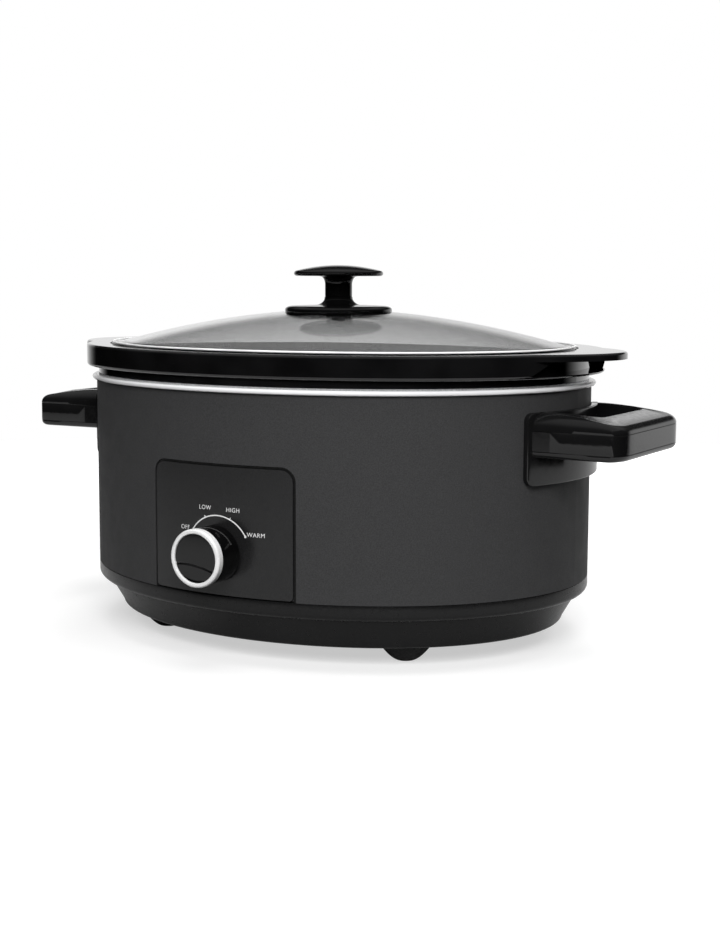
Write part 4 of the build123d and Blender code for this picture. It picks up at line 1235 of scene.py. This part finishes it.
# ---------------------------------------------------------------- studio

# Place and size in metres, and power in watts
LIGHT_AIM = (0, 0, 0.12)
LIGHTS = {
    "key_light": ((0.8, -1.45, 1.1), (1.1, 0.9), 38),
    "top_light": ((0.25, 0.0, 1.9), (1.4, 1.2), 24),
    "back_light": ((-0.3, 1.7, 0.9), (1.4, 1.0), 22),
}


def area_light(name, place, aim, size, power):
    """Rectangular soft light at a place, turned towards a point."""
    data = bpy.data.lights.new(name, "AREA")
    data.shape = "RECTANGLE"
    data.size, data.size_y = size
    data.energy = power
    light = bpy.data.objects.new(name, data)
    light.location = place
    light.rotation_euler = (Vector(aim) - Vector(place)).to_track_quat("-Z", "Y").to_euler()
    light.visible_glossy = False
    light.visible_transmission = False
    bpy.context.scene.collection.objects.link(light)
    return light


def studio_world():
    """A pale band behind the object for gloss, dark elsewhere, and plain white to look at."""
    world = bpy.data.worlds.new("studio")
    world.use_nodes = True
    tree = world.node_tree
    shine = tree.nodes["Background"]
    place = tree.nodes.new("ShaderNodeTexCoord").outputs["Generated"]
    split = tree.nodes.new("ShaderNodeSeparateXYZ")
    tree.links.new(place, split.inputs["Vector"])
    facing = tree.nodes.new("ShaderNodeVectorMath")
    facing.operation = "DOT_PRODUCT"
    facing.inputs[1].default_value = (-0.26, 0.966, 0)
    tree.links.new(place, facing.inputs[0])
    height = tree.nodes.new("ShaderNodeMath")
    height.operation = "ABSOLUTE"
    tree.links.new(split.outputs["Z"], height.inputs[0])

    def smooth(source, start, end, low, high):
        node = tree.nodes.new("ShaderNodeMapRange")
        node.interpolation_type = "SMOOTHSTEP"
        for socket, value in zip(("From Min", "From Max", "To Min", "To Max"), (start, end, low, high)):
            node.inputs[socket].default_value = value
        tree.links.new(source, node.inputs["Value"])
        return node.outputs["Result"]

    def mixed(factor, first, second):
        node = tree.nodes.new("ShaderNodeMix")
        for socket, value in (("Factor", factor), ("A", first), ("B", second)):
            if isinstance(value, float):
                node.inputs[socket].default_value = value
            else:
                tree.links.new(value, node.inputs[socket])
        return node.outputs["Result"]

    # Bright behind the object near the horizon, and a little brighter again high above it
    behind = smooth(facing.outputs["Value"], 0.55, 0.9, 0.0, 0.9)
    band = smooth(height.outputs["Value"], 0.14, 0.3, 1.0, 0.0)
    sky = smooth(split.outputs["Z"], 0.35, 0.8, 0.01, 0.35)
    room = mixed(band, sky, behind)
    ray = tree.nodes.new("ShaderNodeLightPath")
    # The lamps light what is dull, the room lights what is glossy, and glass shows it pale
    soaked = mixed(ray.outputs["Is Diffuse Ray"], room, 0.05)
    through = mixed(ray.outputs["Is Transmission Ray"], soaked, 0.8)
    tree.links.new(mixed(ray.outputs["Is Camera Ray"], through, 1.0), shine.inputs["Strength"])
    shine.inputs["Color"].default_value = (1, 1, 1, 1)
    bpy.context.scene.world = world


def studio_floor(settings):
    """Round pale floor that glows towards its edge, so that it runs into the white room."""
    radius = 1.3
    rim = oval_ring(radius, radius, 0, 96)
    mesh = bpy.data.meshes.new("studio_floor")
    mesh.from_pydata([tuple(p) for p in rim], [], [tuple(range(len(rim)))])
    floor = add_object("studio_floor", mesh, floor_paint(settings))
    floor.visible_diffuse = False


def dark_card():
    """Black card beside the camera that only gloss can see."""
    material = Finish("card_black", (0.0, 0.0, 0.0), 1.0, Specular_IOR_Level=0.0).material
    turns = [radians(t) for t in (48, 63, 78, 93, 108, 123)]
    reach = 0.75
    verts = [(reach * sin(t), -reach * cos(t), z) for t in turns for z in (0.001, 0.7)]
    faces = [(2 * i, 2 * i + 2, 2 * i + 3, 2 * i + 1) for i in range(len(turns) - 1)]
    card = add_object("dark_card", mesh_from(verts, faces), material)
    card.visible_camera = False
    card.visible_diffuse = False
    card.visible_transmission = False
    card.visible_shadow = False


class COOKER_OT_studio(bpy.types.Operator):
    """Lay the floor, hang the lights and set the camera"""

    bl_idname = "cooker.studio"
    bl_label = "Set Studio"

    def execute(self, context):
        s = context.scene.cooker_studio
        studio_floor(s)
        dark_card()
        studio_world()
        for name, (place, size, power) in LIGHTS.items():
            area_light(name, place, LIGHT_AIM, size, power)
        aim = Vector((s.aim_side * cos(s.azimuth), s.aim_side * sin(s.azimuth), s.aim_height))
        level = cos(s.elevation)
        back = Vector((sin(s.azimuth) * level, -cos(s.azimuth) * level, sin(s.elevation)))
        camera = bpy.data.objects.new("camera", bpy.data.cameras.new("camera"))
        camera.data.lens = s.lens
        camera.location = aim + back * s.distance
        turned = (-back).to_track_quat("-Z", "Y").to_matrix() @ Matrix.Rotation(s.roll, 3, "Z")
        camera.rotation_euler = turned.to_euler()
        context.scene.collection.objects.link(camera)
        context.scene.camera = camera
        context.scene.view_settings.view_transform = "Standard"
        return {"FINISHED"}


# ---------------------------------------------------------------- add-on

OPERATORS = (
    COOKER_OT_studio,
    COOKER_OT_shell,
    COOKER_OT_base_moulding,
    COOKER_OT_trim_ring,
    COOKER_OT_feet,
    COOKER_OT_handles,
    COOKER_OT_crock,
    COOKER_OT_lid_glass,
    COOKER_OT_lid_knob,
    COOKER_OT_panel,
    COOKER_OT_dial,
    COOKER_OT_fittings,
)

SETTINGS = {
    "cooker_base": BaseSettings,
    "cooker_handles": HandleSettings,
    "cooker_crock": CrockSettings,
    "cooker_dial": DialSettings,
    "cooker_studio": StudioSettings,
}


class COOKER_PT_sidebar(bpy.types.Panel):
    """Lists the cooker's pieces and their settings"""

    bl_idname = "COOKER_PT_sidebar"
    bl_label = "Slow Cooker"
    bl_space_type = "VIEW_3D"
    bl_region_type = "UI"
    bl_category = "Slow Cooker"

    def draw(self, context):
        for operator in OPERATORS:
            self.layout.operator(operator.bl_idname)
        for name in SETTINGS:
            box = self.layout.box()
            settings = getattr(context.scene, name)
            for prop in settings.bl_rna.properties:
                if prop.identifier not in {"rna_type", "name"}:
                    box.prop(settings, prop.identifier)


def register():
    for cls in (*SETTINGS.values(), *OPERATORS, COOKER_PT_sidebar):
        bpy.utils.register_class(cls)
    for name, cls in SETTINGS.items():
        setattr(bpy.types.Scene, name, bpy.props.PointerProperty(type=cls))


def unregister():
    for name in SETTINGS:
        delattr(bpy.types.Scene, name)
    for cls in reversed((*SETTINGS.values(), *OPERATORS, COOKER_PT_sidebar)):
        bpy.utils.unregister_class(cls)


def main():
    """Builds every piece in order."""
    register()
    for operator in OPERATORS:
        module, name = operator.bl_idname.split(".")
        getattr(getattr(bpy.ops, module), name)()


if __name__ == "__main__":
    main()
